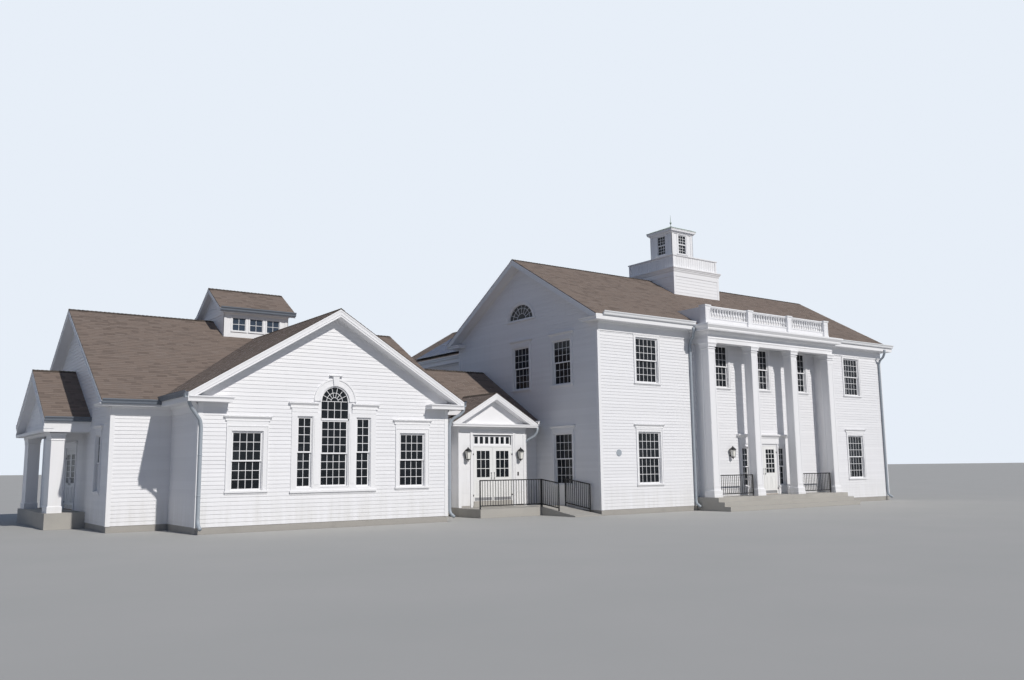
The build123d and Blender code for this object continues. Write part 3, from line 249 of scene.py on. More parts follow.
def paintCells(name, tint):
    # matt textured cover over blue cells
    paint = Paint(name, Specular_IOR_Level=0.25)
    cloud = paint.noise(1.5, 3.0)
    return paint.finished(paint.shade(tint, 0.8 + cloud * 0.4), 0.42 + cloud * 0.15)


def paintMetal(name, base, worn, metallic, roughness):
    paint = Paint(name, Metallic=metallic)
    speck = paint.noise(70.0, 4.0)
    cloud = paint.noise(4.0, 3.0)
    colour = paint.blend(base, worn, (speck * 0.5 + cloud * 0.5).between(0.5, 0.8) * 0.5)
    return paint.finished(colour, roughness + cloud * 0.18, speck, 0.2, 0.0015)


def paintWood(name, base, dark):
    paint = Paint(name)
    grain = paint.noise(3.0, 6.0, stretch=(1.0, 14.0, 14.0), roughness=0.6)
    cloud = paint.noise(1.1, 2.0)
    colour = paint.blend(dark, base, (grain * 0.8 + cloud * 0.3).between(0.3, 0.8))
    return paint.finished(colour, 0.5 + grain * 0.2, grain, 0.3, 0.002)


colours = {
    "boards": (0.78, 0.78, 0.795),
    "grime": (0.52, 0.51, 0.46),
    "trim": (0.82, 0.82, 0.83),
    "doors": (0.80, 0.80, 0.79),
    "shingles": [(0.152, 0.119, 0.100), (0.205, 0.162, 0.136), (0.290, 0.238, 0.205)],
    # far darker shingle tones for the ridge caps and the shingle edges at the rakes: painted shade of the
    # shadow lines along ridges and roof edges
    "ridges": [(0.045, 0.036, 0.030), (0.075, 0.060, 0.049), (0.11, 0.09, 0.073)],
}

finishes = {
    "clapboards": paintBoards("clapboardPaint", colours["boards"], colours["grime"]),
    "white_trim": paintBoards("trimPaint", colours["trim"], colours["grime"]),
    "shingles": paintShingles("roofShingles", *colours["shingles"]),
    "shadeDarkShingles": paintShingles("shadeDarkShingles", *colours["ridges"]),
    "foundation_stone": paintStone("foundationStone", (0.44, 0.42, 0.39), (0.24, 0.23, 0.21), 2.0),
    "concrete": paintStone("walkConcrete", (0.47, 0.45, 0.41), (0.30, 0.29, 0.27), 1.0),
    "floor_boards": paintWood("floorBoards", (0.30, 0.19, 0.11), (0.15, 0.085, 0.045)),
    # near-black, nearly opaque tint: painted shade of the dark rooms behind the panes
    "window_glass": paintGlass("glassWithPaintedInteriorShade", (0.012, 0.015, 0.019), 0.88),
    # the blue tint on the monitor's panes is a painted reflection of the sky
    "paintedSkyReflectionGlass": paintGlass("paintedSkyReflectionGlass", (0.042, 0.060, 0.090), 0.95),
    "door_paint": paintBoards("doorPaint", colours["doors"], colours["grime"]),
    "solar_cells": paintCells("solarGlass", (0.012, 0.028, 0.085)),
    "black_iron": paintMetal("blackIron", (0.018, 0.018, 0.020), (0.07, 0.065, 0.06), 0.3, 0.38),
    "cap_metal": paintMetal("capMetal", (0.30, 0.36, 0.31), (0.17, 0.22, 0.18), 0.4, 0.5),
    "gutterPaint": paintMetal("gutterPaint", (0.74, 0.75, 0.76), (0.60, 0.61, 0.62), 0.0, 0.35),
    "gutterDark": paintMetal("gutterDark", (0.125, 0.145, 0.175), (0.08, 0.095, 0.12), 0.0, 0.4),
    "spoutGrey": paintMetal("spoutGrey", (0.34, 0.38, 0.42), (0.24, 0.27, 0.30), 0.0, 0.4),
    "kickMetal": paintMetal("kickMetal", (0.42, 0.42, 0.43), (0.30, 0.30, 0.31), 0.7, 0.35),
    "frostedGlass": paintMetal("frostedGlass", (0.80, 0.79, 0.74), (0.68, 0.67, 0.62), 0.0, 0.4),
    "cellLines": paintMetal("cellLines", (0.10, 0.11, 0.13), (0.06, 0.065, 0.08), 0.6, 0.45),
}
print("materials ready:", len(finishes))


# Mesh making


class Side:
    # a flat face of the house: u along it, v up it, w out of it
    def __init__(self, origin, along, up, out):
        self.origin, self.along, self.up, self.out = map(Vector, (origin, along, up, out))
        self.mirrored = self.along.cross(self.up).dot(self.out) < 0

    def at(self, u, v, w):
        return self.origin + self.along * u + self.up * v + self.out * w


def frontWall(y):
    return Side((0, y, 0), (1, 0, 0), (0, 0, 1), (0, -1, 0))


def rearWall(y):
    return Side((0, y, 0), (1, 0, 0), (0, 0, 1), (0, 1, 0))


def leftWall(x):
    return Side((x, 0, 0), (0, 1, 0), (0, 0, 1), (-1, 0, 0))


def rightWall(x):
    return Side((x, 0, 0), (0, 1, 0), (0, 0, 1), (1, 0, 0))


def skin(rings, sides):
    # faces between rings of points, from the first ring to the last
    faces = []
    for row in range(rings - 1):
        low, high = row * sides, (row + 1) * sides
        for k in range(sides):
            after = (k + 1) % sides
            faces.append((low + k, low + after, high + after, high + k))
    return faces


def prismFaces(count):
    # two ends and the faces between them; the outer end's points come first
    faces = [tuple(range(count)), tuple(range(2 * count - 1, count - 1, -1))]
    for k in range(count):
        after = (k + 1) % count
        faces.append((k, count + k, count + after, after))
    return faces


nearlyUp = Vector((0.21, 0.13, 0.97))  # what a pipe's round is turned from


class Form:
    # mesh under construction
    def __init__(self, name):
        self.name = name
        self.points, self.faces, self.smooth = [], [], []

    def shared(self, points, faces, smooth=False, mirrored=False):
        start = len(self.points)
        self.points.extend(tuple(p) for p in points)
        for face in faces:
            corners = tuple(start + index for index in face)
            self.faces.append(corners[::-1] if mirrored else corners)
            self.smooth.append(smooth)

    def flat(self, side, corners, flip=False):
        # corners (u, v, w), counter-clockwise seen from outside
        if side.mirrored != flip:
            corners = corners[::-1]
        self.shared([side.at(*c) for c in corners], [range(len(corners))])

    def prism(self, side, outline, low, high):
        # outline (u, v), counter-clockwise, between two distances out of the side
        points = [side.at(u, v, w) for w in (high, low) for u, v in outline]
        self.shared(points, prismFaces(len(outline)), mirrored=side.mirrored)

    def block(self, side, u0, u1, v0, v1, w0, w1):
        self.prism(side, rectangle(u0, u1, v0, v1), w0, w1)

    def box(self, x0, x1, y0, y1, z0, z1):
        self.block(frontWall(0), x0, x1, z0, z1, -y1, -y0)

    def beside(self, side, middle, way, near, far, *rest):
        # a block between two distances from a middle, to one side of it
        u0, u1 = sorted((middle + way * near, middle + way * far))
        self.block(side, u0, u1, *rest)

    def boxAbout(self, x, y, half, z0, z1):
        self.box(x - half, x + half, y - half, y + half, z0, z1)

    def bands(self, side, *strips):
        # strips between open lines of as many points: outer line, inner line, low, high
        for k in range(len(strips[0][0]) - 1):
            for outer, inner, low, high in strips:
                self.prism(side, [outer[k], outer[k + 1], inner[k + 1], inner[k]], low, high)

    def ring(self, side, inner, outer, low, high):
        # a flat band between two like outlines, such as a casing round a window
        count = len(inner)
        for k in range(count):
            after = (k + 1) % count
            a, b, c, d = outer[k], outer[after], inner[after], inner[k]
            self.flat(side, [(*a, high), (*b, high), (*c, high), (*d, high)])
            self.flat(side, [(*a, low), (*b, low), (*b, high), (*a, high)])
            self.flat(side, [(*c, low), (*d, low), (*d, high), (*c, high)])

    def lathe(self, middle, outline, sides, square=False):
        # outline (radius, height) from the bottom up
        x, y, z = middle
        turn = pi / sides if square else 0
        points = []
        for radius, height in outline:
            for k in range(sides):
                angle = turn + 2 * pi * k / sides
                points.append((x + radius * cos(angle), y + radius * sin(angle), z + height))
        faces = skin(len(outline), sides)
        faces.append(tuple(range(sides - 1, -1, -1)))
        faces.append(tuple(range(len(points) - sides, len(points))))
        self.shared(points, faces, smooth=not square)

    def tube(self, path, radius, sides):
        # a pipe along points
        path = [Vector(p) for p in path]
        points = []
        for k, point in enumerate(path):
            before = path[max(k - 1, 0)]
            after = path[min(k + 1, len(path) - 1)]
            heading = (after - before).normalized()
            across = heading.cross(nearlyUp)
            if across.length < 0.2:
                across = heading.cross(Vector((0.0, 1.0, 0.0)))
            across.normalize()
            lift = across.cross(heading)
            for s in range(sides):
                angle = 2 * pi * s / sides
                points.append(point + across * radius * cos(angle) + lift * radius * sin(angle))
        faces = [(a, d, c, b) for a, b, c, d in skin(len(path), sides)]
        faces.append(tuple(range(sides)))
        faces.append(tuple(range(len(points) - 1, len(points) - sides - 1, -1)))
        self.shared(points, faces, smooth=True)

    def moulding(self, side, u0, u1, v, profile, ends=(True, True)):
        # a level moulding: profile (w, dv) from wall foot round to wall top, mitred returns at the ends
        left = 1 if ends[0] else 0
        right = 1 if ends[1] else 0
        for (wa, va), (wb, vb) in zip(profile, profile[1:]):
            self.flat(side, [
                (u0 - left * wa, v + va, wa), (u1 + right * wa, v + va, wa),
                (u1 + right * wb, v + vb, wb), (u0 - left * wb, v + vb, wb),
            ])
            for end, way, flip in ((u0, -left, True), (u1, right, False)):
                a, b = end + way * wa, end + way * wb
                if way:
                    self.flat(side, [(a, v + va, wa), (a, v + va, 0), (b, v + vb, 0), (b, v + vb, wb)], flip)
        for end, way, flip in ((u0, left, True), (u1, right, False)):
            if not way:
                self.flat(side, [(end, v + dv, w) for w, dv in profile][::-1], flip=flip)

    def collar(self, x0, x1, y0, y1, z, profile):
        # a moulding round a square shaft: profile (w, dz) from the bottom up
        points = []
        for w, dz in profile:
            points += [(x, y, z + dz) for x, y in rectangle(x0 - w, x1 + w, y0 - w, y1 + w)]
        self.shared(points, skin(len(profile), 4))

    def collarAbout(self, x, y, half, z, profile):
        self.collar(x - half, x + half, y - half, y + half, z, profile)

    def done(self, finish, body="building", replaces=()):
        mesh = bpy.data.meshes.new(self.name)
        mesh.from_pydata([inRow(p) for p in self.points], [], self.faces)
        mesh.polygons.foreach_set("use_smooth", self.smooth)
        mesh.materials.append(finishes[finish])
        mesh.update()
        piece = bpy.data.objects.new(self.name, mesh)
        bpy.context.scene.collection.objects.link(piece)
        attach(piece, body)
        if replaces:
            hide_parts(*replaces)
        return piece


def crossings(loops, v):
    # where a level line enters and leaves the outline and its holes
    hits = []
    for loop in loops:
        for (u0, v0), (u1, v1) in zip(loop, loop[1:] + loop[:1]):
            if (v0 <= v) != (v1 <= v):
                hits.append(u0 + (u1 - u0) * (v - v0) / (v1 - v0))
    return sorted(hits)


def trapezoids(loops, low, high):
    # the outline between two levels, as (u at low, u at high) pairs for both edges
    heights = {low, high}
    for loop in loops:
        heights.update(v for u, v in loop if low < v < high)
    heights = sorted(heights)
    found = []
    for v0, v1 in zip(heights, heights[1:]):
        tiny = (v1 - v0) * 0.0005
        lower = crossings(loops, v0 + tiny)
        upper = crossings(loops, v1 - tiny)
        for k in range(0, min(len(lower), len(upper)) - 1, 2):
            found.append((v0, v1, lower[k], lower[k + 1], upper[k], upper[k + 1]))
    return found


def layBoards(form, side, loops, base, exposure, thick, thin):
    # lapped boards: each leans out to its lower edge
    top = max(v for u, v in loops[0])
    for course in range(ceil((top - base) / exposure)):
        low = base + course * exposure
        high = min(low + exposure, top)
        for v0, v1, a0, b0, a1, b1 in trapezoids(loops, low, high):
            w0 = thick + (thin - thick) * (v0 - low) / exposure
            w1 = thick + (thin - thick) * (v1 - low) / exposure
            form.flat(side, [(a0, v0, w0), (b0, v0, w0), (b1, v1, w1), (a1, v1, w1)])
            if v0 == low:
                form.flat(side, [(a0, v0, 0), (b0, v0, 0), (b0, v0, w0), (a0, v0, w0)])


tabFoot = 0.001  # lift of a tab's underside off the deck


tabWidths, tabThickness = (0.16, 0.42), (0.009, 0.015)
tabTaper = 0.6  # share of its thickness that a tab loses over one exposure
narrowestTab = 0.1


def layShingles(form, side, loops, exposure, seed):
    # tabs of mixed width and thickness, each with a shadowed butt edge
    dice = random.Random(seed)
    top = max(v for u, v in loops[0])
    for course in range(ceil(top / exposure)):
        low = course * exposure
        high = min(low + exposure, top)
        for v0, v1, a0, b0, a1, b1 in trapezoids(loops, low, high):
            if b0 - a0 < 0.005 and b1 - a1 < 0.005:
                continue
            start = (a0, a1)
            reach = max(a0, a1)
            while start is not None:
                reach += dice.uniform(*tabWidths)
                thick = dice.uniform(*tabThickness)
                end = (reach, reach) if reach + narrowestTab < min(b0, b1) else (b0, b1)
                w0 = thick * (1 - tabTaper * (v0 - low) / exposure)
                w1 = thick * (1 - tabTaper * (v1 - low) / exposure)
                corners = [(start[0], v0), (end[0], v0), (end[1], v1), (start[1], v1)]
                points = [side.at(*corner, w) for corner, w in zip(corners, (w0, w0, w1, w1))]
                points += [side.at(*corner, tabFoot) for corner in corners]
                faces = [(0, 1, 2, 3), (4, 5, 1, 0)]
                if start == (a0, a1):
                    faces.append((4, 0, 3, 7))
                if end == (b0, b1):
                    faces.append((5, 6, 2, 1))
                form.shared(points, faces, mirrored=side.mirrored)
                start = None if end == (b0, b1) else end


def rectangle(u0, u1, v0, v1):
    return [(u0, v0), (u1, v0), (u1, v1), (u0, v1)]


def arc(u, v, radius, start, end, count):
    turns = [start + (end - start) * k / count for k in range(count + 1)]
    return [(u + radius * cos(turn), v + radius * sin(turn)) for turn in turns]


# Roofs: the same planes as the solids

roofDepth = 0.17


class Roof:
    def __init__(self, axis, start, end, low, high, line, ridge, pitch, overhang):
        self.axis = axis
        self.start, self.end = start, end
        self.low, self.high = low, high
        self.line, self.ridge = line, ridge
        self.pitch, self.overhang = pitch, overhang
        self.tilt = hypot(1, pitch)

    def top(self, across):
        return self.ridge - self.pitch * abs(across - self.line)

    def under(self, across):
        return self.top(across) - roofDepth

    def edge(self, way):
        return self.low - self.overhang if way < 0 else self.high + self.overhang

    def wallAt(self, way):
        return self.low if way < 0 else self.high

    def boxEdge(self, way):
        # the outer face of the boxed eave
        return self.edge(way) - way * rakeInset

    def slope(self, way):
        # v is measured up the slope from its lower edge
        edge = self.edge(way)
        c, s = 1 / self.tilt, self.pitch / self.tilt
        if self.axis == "x":
            return Side((0, edge, self.top(edge)), (1, 0, 0), (0, -way * c, s), (0, way * s, c))
        return Side((edge, 0, self.top(edge)), (0, 1, 0), (-way * c, 0, s), (way * s, 0, c))

    def up(self, across):
        # distance up the slope of a line at this place across the roof
        way = -1 if across < self.line else 1
        return abs(across - self.edge(way)) * self.tilt

    def gable(self, bottom):
        # outline of the wall under the roof, across and up
        points = [(self.low, bottom), (self.high, bottom), (self.high, self.under(self.high))]
        if self.low < self.line < self.high:
            points.append((self.line, self.ridge - roofDepth))
        points.append((self.low, self.under(self.low)))
        return points


pitch = 7 / 12
main = {
    "length": 19.2, "depth": 9.9, "eave": 7.65, "overhang": 0.44, "soffit": 7.44, "frieze": 7.08,
    "bottom": 0.20,
}
ell = {"left": 0.96, "right": 8.64, "rear": 17.76, "eave": 7.2, "overhang": 0.40, "soffit": 6.99}
wing = {
    "left": -16.59, "right": -4.0, "front": 4.01, "rear": 16.18, "eave": 4.05, "overhang": 0.37,
    "soffit": 3.87, "frieze": 3.60,
}
cross = {"left": -14.76, "right": -6.12, "front": 1.16, "pitch": 0.605, "eave": 4.15, "overhang": 0.44}
link = {"rear": 9.9, "line": 7.875, "ridge": 6.13}
pediment = {"low": 3.42, "top": 3.54}
vestibule = {
    "left": -4.2, "right": -1.0, "front": 3.43, "eave": 3.59, "overhang": 0.42, "gableOverhang": 0.32,
}
monitor = {"length": 2.6, "width": 2.65, "eave": 8.15, "overhang": 0.24, "rise": 1.0}
porch = {"depth": 1.13, "width": 5.76, "eave": 3.65, "overhang": 0.30}


def roofOver(axis, start, end, low, high, eave, overhang, steep=pitch):
    # a roof with its ridge in the middle, at the height that the eave and the pitch give
    ridge = eave + steep * ((high - low) / 2 + overhang)
    return Roof(axis, start, end, low, high, (low + high) / 2, ridge, steep, overhang)


mainRoof = roofOver("x", 0, main["length"], 0, main["depth"], main["eave"], main["overhang"])
ellRoof = roofOver("y", main["depth"], ell["rear"], ell["left"], ell["right"], ell["eave"], ell["overhang"])
wingRoof = roofOver(
    "x", wing["left"], wing["right"], wing["front"], wing["rear"], wing["eave"], wing["overhang"]
)
crossRoof = roofOver(
    "y", cross["front"], wing["front"], cross["left"], cross["right"], cross["eave"], cross["overhang"],
    cross["pitch"],
)
linkRoof = Roof(
    "x", wing["right"], 0, wing["front"], link["rear"], link["line"], link["ridge"], pitch, wing["overhang"]
)
vestibuleRoof = roofOver(
    "y", vestibule["front"], wing["front"], vestibule["left"], vestibule["right"], vestibule["eave"],
    vestibule["overhang"],
)
ellMiddle, wingMiddle, crossMiddle = ellRoof.line, wingRoof.line, crossRoof.line
vestibuleMiddle = vestibuleRoof.line
porchLow, porchHigh = wingMiddle - porch["width"] / 2, wingMiddle + porch["width"] / 2
porchFront = wing["left"] - porch["depth"]
porchRoof = roofOver("x", porchFront, wing["left"], porchLow, porchHigh, porch["eave"], porch["overhang"])
monitorMiddle = (wing["left"] + wing["right"]) / 2 - 0.05
monitorLow, monitorHigh = wingMiddle - monitor["width"] / 2, wingMiddle + monitor["width"] / 2
monitorRoof = roofOver(
    "x", monitorMiddle - monitor["length"] / 2, monitorMiddle + monitor["length"] / 2,
    monitorLow, monitorHigh, monitor["eave"], monitor["overhang"],
    monitor["rise"] / (monitor["width"] / 2 + monitor["overhang"]),
)
cupola = {"x": 9.5, "y": 4.95, "base": 3.12, "baseTop": 11.05, "lantern": 1.44}


def meet(roof, other, across):
    # where a level line of one roof runs into the front slope of another
    return other.line - (other.ridge - roof.top(across)) / other.pitch


shingleExposure = 0.142
capLength, capWidth = 0.15, 0.13
capButt, capHead = 0.026, 0.014  # lift of a ridge cap's two ends
rakeInset = 0.02  # the crown stands out this far from the roof's end


def pave(name, node, patches, low=None, high=None):
    # painted deck as thick as the roof, and the shingles on it; low and high are its rakes
    deck, tabs = Form(name + "Deck"), Form(name + "Shingles")
    inset = {}
    if low is not None:
        inset[low] = low + rakeInset
    if high is not None:
        inset[high] = high - rakeInset
    for number, (slope, outline) in enumerate(patches):
        layShingles(tabs, slope, [outline], shingleExposure, len(name) * 10 + number)
        tops = [slope.at(inset.get(u, u), v, 0.0) for u, v in outline]
        lows = [point - Vector((0, 0, roofDepth)) for point in tops]
        deck.shared(tops + lows, prismFaces(len(tops)), mirrored=slope.mirrored)
    deck.done("white_trim", replaces=[node])
    tabs.done("shingles")


def counterClockwise(outline):
    area = sum(a[0] * b[1] - b[0] * a[1] for a, b in zip(outline, outline[1:] + outline[:1]))
    return outline if area > 0 else outline[::-1]


def notched(x0, x1, crest, middle, half, foot):
    # a slope's outline with a notch in its ridge, for what stands there
    return [
        (x0, 0), (x1, 0), (x1, crest), (middle + half, crest), (middle + half, foot), (middle - half, foot),
        (middle - half, crest), (x0, crest),
    ]


def withValleys(outline, middle, inset, peak):
    # another roof runs in under this slope, between two valleys
    return [outline[0], (middle - inset, 0), (middle, peak), (middle + inset, 0), *outline[1:]]


def bothSlopes(roof, outline):
    return [(roof.slope(way), outline) for way in (-1, 1)]


def shingleRoofs():
    clear = 0.01
    half = cupola["base"] / 2 + clear
    mainEnds = (-main["overhang"], main["length"] + main["overhang"])
    crest = mainRoof.up(mainRoof.line)
    ellMeets = mainRoof.line + (mainRoof.ridge - ellRoof.ridge) / pitch
    start, back = main["depth"] + main["overhang"], ell["rear"] + ell["overhang"]
    patches = []
    for way in (-1, 1):
        foot = mainRoof.up(cupola["y"] + way * half)
        outline = notched(*mainEnds, crest, cupola["x"], half, foot)
        if way > 0:
            inset = (ellRoof.ridge - mainRoof.top(start)) / pitch
            outline = withValleys(outline, ellMiddle, inset, mainRoof.up(ellMeets))
        patches.append((mainRoof.slope(way), outline))
    pave("main", "main_roof", patches, *mainEnds)

    crest = ellRoof.up(ellMiddle)
    patches = []
    for way in (-1, 1):
        first = (mainRoof.top(start) - ellRoof.top(ellRoof.edge(way))) / pitch * ellRoof.tilt
        outline = [(start, 0), (back, 0), (back, crest), (ellMeets, crest), (start, max(first, clear))]
        patches.append((ellRoof.slope(way), outline))
    pave("ell", "ell_roof", patches, high=back)

    crest = wingRoof.up(wingMiddle)
    wingEnds = (wing["left"] - wing["overhang"], wing["right"] + wing["overhang"])
    crossPeak = meet(crossRoof, wingRoof, crossMiddle)
    patches = []
    for way in (-1, 1):
        foot = wingRoof.up(wingMiddle + way * (monitor["width"] / 2 + clear))
        outline = notched(*wingEnds, crest, monitorMiddle, monitor["length"] / 2 + clear, foot)
        if way < 0:
            inset = (crossRoof.ridge - wing["eave"]) / cross["pitch"]
            outline = withValleys(outline, crossMiddle, inset, wingRoof.up(crossPeak))
        patches.append((wingRoof.slope(way), outline))
    pave("wing", "wing_roof", patches, *wingEnds)

    crossFront = cross["front"] - cross["overhang"]
    crest = crossRoof.up(crossMiddle)
    patches = []
    for way in (-1, 1):
        edgeMeets = meet(crossRoof, wingRoof, crossRoof.edge(way))
        outline = [(crossFront, 0), (edgeMeets, 0), (crossPeak, crest), (crossFront, crest)]
        patches.append((crossRoof.slope(way), outline))
    pave("cross", "wing_cross_roof", patches, crossFront)

    crest, back = [abs(linkRoof.line - linkRoof.edge(way)) * linkRoof.tilt for way in (-1, 1)]
    linkEdge = wing["front"] - wing["overhang"]
    peakY = meet(vestibuleRoof, linkRoof, vestibuleMiddle)
    peak = linkRoof.up(peakY)
    inset = (vestibuleRoof.ridge - linkRoof.top(linkEdge)) / pitch
    left, right = wing["right"] + clear, -2 * clear
    leftCut = vestibuleMiddle - inset
    outline = [(left, crest)]
    if leftCut < left:
        outline.append((left, peak * (left - leftCut) / (vestibuleMiddle - leftCut)))
    outline += [(vestibuleMiddle, peak), (vestibuleMiddle + inset, 0), (right, 0), (right, crest)]
    patches = [(linkRoof.slope(-1), counterClockwise(outline))]
    patches.append((linkRoof.slope(1), rectangle(left, right, 0, back)))
    pave("link", "link_roof", patches)
    front = vestibule["front"] - vestibule["gableOverhang"]
    crest = vestibuleRoof.up(vestibuleMiddle)
    outline = [(front, 0), (linkEdge, 0), (peakY, crest), (front, crest)]
    pave("vestibule", "vestibule_roof", bothSlopes(vestibuleRoof, outline), front)

    porchEnd = porchFront - porch["overhang"]
    outline = rectangle(porchEnd, wing["left"] - clear, 0, porchRoof.up(wingMiddle))
    pave("porch", "side_porch_roof", bothSlopes(porchRoof, outline), porchEnd)
    x0, x1 = monitorRoof.start - monitor["overhang"], monitorRoof.end + monitor["overhang"]
    outline = rectangle(x0, x1, 0, monitorRoof.up(wingMiddle))
    pave("monitor", "monitor_roof", bothSlopes(monitorRoof, outline), x0, x1)

    # capped ridges: short overlapping pieces bent over the crest
    form = Form("ridgeCaps")
    for roof, first, last in (
        (mainRoof, mainEnds[0], cupola["x"] - half), (mainRoof, cupola["x"] + half, mainEnds[1]),
        (ellRoof, ellMeets, ell["rear"] + ell["overhang"]), (wingRoof, wingEnds[0], monitorRoof.start),
        (wingRoof, monitorRoof.end, wingEnds[1]), (crossRoof, crossFront, crossPeak),
        (linkRoof, wing["right"], 0), (vestibuleRoof, front, peakY), (porchRoof, porchEnd, wing["left"]),
        (monitorRoof, x0, x1),
    ):
        layCaps(form, roof, first, last)
    # the ridge caps take the shingle tone darkened as painted shade
    form.done("shadeDarkShingles")


def layCaps(form, roof, start, end):
    count = max(1, round((end - start) / capLength))
    step = (end - start) / count
    for k in range(count):
        a, b = start + k * step, start + (k + 1) * step
        for way in (-1, 1):
            def spot(along, down, lift):
                across = roof.line + way * down
                height = roof.ridge - roof.pitch * down + lift
                return (along, across, height) if roof.axis == "x" else (across, along, height)
            wide, butt, head = capWidth, capButt, capHead
            points = [
                spot(a, 0, butt), spot(b, 0, head), spot(b, wide, head), spot(a, wide, butt),
                spot(a, 0, 0.0), spot(a, wide, 0.0), spot(b, wide, 0.0),
            ]
            faces = [(0, 1, 2, 3), (0, 3, 5, 4), (3, 2, 6, 5)]
            form.shared(points, faces, mirrored=(way < 0) != (roof.axis == "y"))


# Windows, each built in one side: trim and panes are the forms that its parts go to

# width, bottom, top, width of the casing, height of the crown, panes across
windowKinds = {
    "upper": (1.23, 5.13, 6.96, 0.11, 0, 5),
    "lower": (1.23, 1.13, 3.18, 0.11, 0.19, 5),
    "upperSide": (1.15, 5.13, 6.96, 0.11, 0.19, 4),
    "lowerSide": (1.15, 1.13, 3.18, 0.11, 0.19, 4),
    "ellUpper": (1.15, 4.79, 6.48, 0.11, 0, 4),
    "wing": (0.985, 1.23, 3.04, 0.16, 0.29, 4),
    "narrow": (0.64, 1.23, 3.04, 0.11, 0.19, 2),
    "entryLight": (0.46, 0.90, 2.60, 0.05, 0, 2),
}
wallDepth = 0.2
reveal = 0.02  # the frame's lining inside the opening
halfBar = 0.0085  # of the width of a window's glazing bars
sashThick = 0.038
crownProfile = [
    (0.035, 0.0), (0.050, 0.0), (0.050, 0.012), (0.042, 0.016), (0.042, 0.062), (0.060, 0.078),
    (0.098, 0.118), (0.106, 0.122), (0.106, 0.140), (0.0, 0.15),
]


def sash(trim, panes, side, u0, u1, v0, v1, w, columns, rows, stile=0.045):
    # one sash: stiles and rails, bars, glass
    inner = rectangle(u0 + stile, u1 - stile, v0 + stile, v1 - stile)
    trim.ring(side, inner, rectangle(u0, u1, v0, v1), w - sashThick, w)
    for k in range(1, columns):
        u = u0 + stile + (u1 - u0 - 2 * stile) * k / columns
        trim.block(side, u - halfBar, u + halfBar, v0 + stile, v1 - stile, w - 0.027, w - 0.011)
    for k in range(1, rows):
        v = v0 + stile + (v1 - v0 - 2 * stile) * k / rows
        trim.block(side, u0 + stile, u1 - stile, v - halfBar, v + halfBar, w - 0.026, w - 0.012)
    panes.flat(side, [(*corner, w - 0.018) for corner in inner])


def sashPair(trim, panes, side, u0, u1, bottom, top, split, columns, rows, lap=0.022, depths=(0.03, 0.075)):
    # the upper sash, and the lower one behind it
    sash(trim, panes, side, u0, u1, split - lap, top, -depths[0], columns, rows)
    sash(trim, panes, side, u0, u1, bottom, split + lap, -depths[1], columns, rows)


def surround(trim, side, u0, u1, v0, v1, width, w0, w1):
    # boards up both sides and across the top
    trim.block(side, u0 - width, u0, v0, v1 + width, w0, w1)
    trim.block(side, u1, u1 + width, v0, v1 + width, w0, w1)
    trim.block(side, u0, u1, v1, v1 + width, w0, w1)


def casingRound(trim, side, u0, u1, v0, v1, width, proud=0.035):
    # flat casing with a raised outer band and a bead at the opening
    band, bead = 0.028, 0.014
    surround(trim, side, u0, u1, v0, v1, width, 0.0, proud)
    rim = width - band
    surround(trim, side, u0 - rim, u1 + rim, v0, v1 + rim, band, proud, proud + 0.016)
    surround(trim, side, u0, u1, v0, v1, bead, proud, proud + 0.008)


def hungWindow(trim, panes, side, middle, kind):
    width, bottom, top, casing, crown, columns = windowKinds[kind]
    u0, u1 = middle - width / 2, middle + width / 2
    inner = rectangle(u0 + reveal, u1 - reveal, bottom + reveal, top - reveal)
    trim.ring(side, inner, rectangle(u0, u1, bottom, top), -wallDepth, 0.004)
    casingRound(trim, side, u0, u1, bottom, top, casing)
    left, right = u0 - casing, u1 + casing
    trim.block(side, left - 0.02, right + 0.02, bottom - 0.05, bottom, 0.0, 0.07)
    trim.block(side, left, right, bottom - 0.10, bottom - 0.05, 0.0, 0.028)
    split = (bottom + top) / 2
    sashPair(trim, panes, side, u0 + reveal, u1 - reveal, bottom + reveal, top - reveal, split, columns, 3)
    if crown:
        low = top + casing
        high = low + crown - crownProfile[-1][1]
        trim.block(side, left, right, low, high, 0.0, 0.035)
        trim.moulding(side, left, right, high, crownProfile)
    return [rectangle(left + 0.01, right - 0.01, bottom - 0.05, top + casing + max(crown - 0.03, -0.01))]


def bow(middle, level, reach, rise=1.0, count=24):
    # half a circle over a level, flattened by its rise
    return [(u, level + v * rise) for u, v in arc(middle, 0.0, reach, 0, pi, count)]


def fanRibs(trim, side, middle, level, radii, reach, spokes, half, rise=1.0):
    # curved bars, and spokes from the inner one to the rim
    for radius in radii:
        outside, inside = [bow(middle, level, radius + way * half, rise, 16) for way in (1, -1)]
        trim.bands(side, (outside, inside, -0.055, -0.035))
    for k in range(1, spokes):
        turn = pi * k / spokes
        along = Vector((cos(turn), sin(turn) * rise))
        across = Vector((-along.y, along.x)).normalized() * half
        start, end = radii[0] * along, reach * along
        corners = [start - across, end - across, end + across, start + across]
        trim.prism(side, [(middle + c.x, level + c.y) for c in corners], -0.054, -0.036)


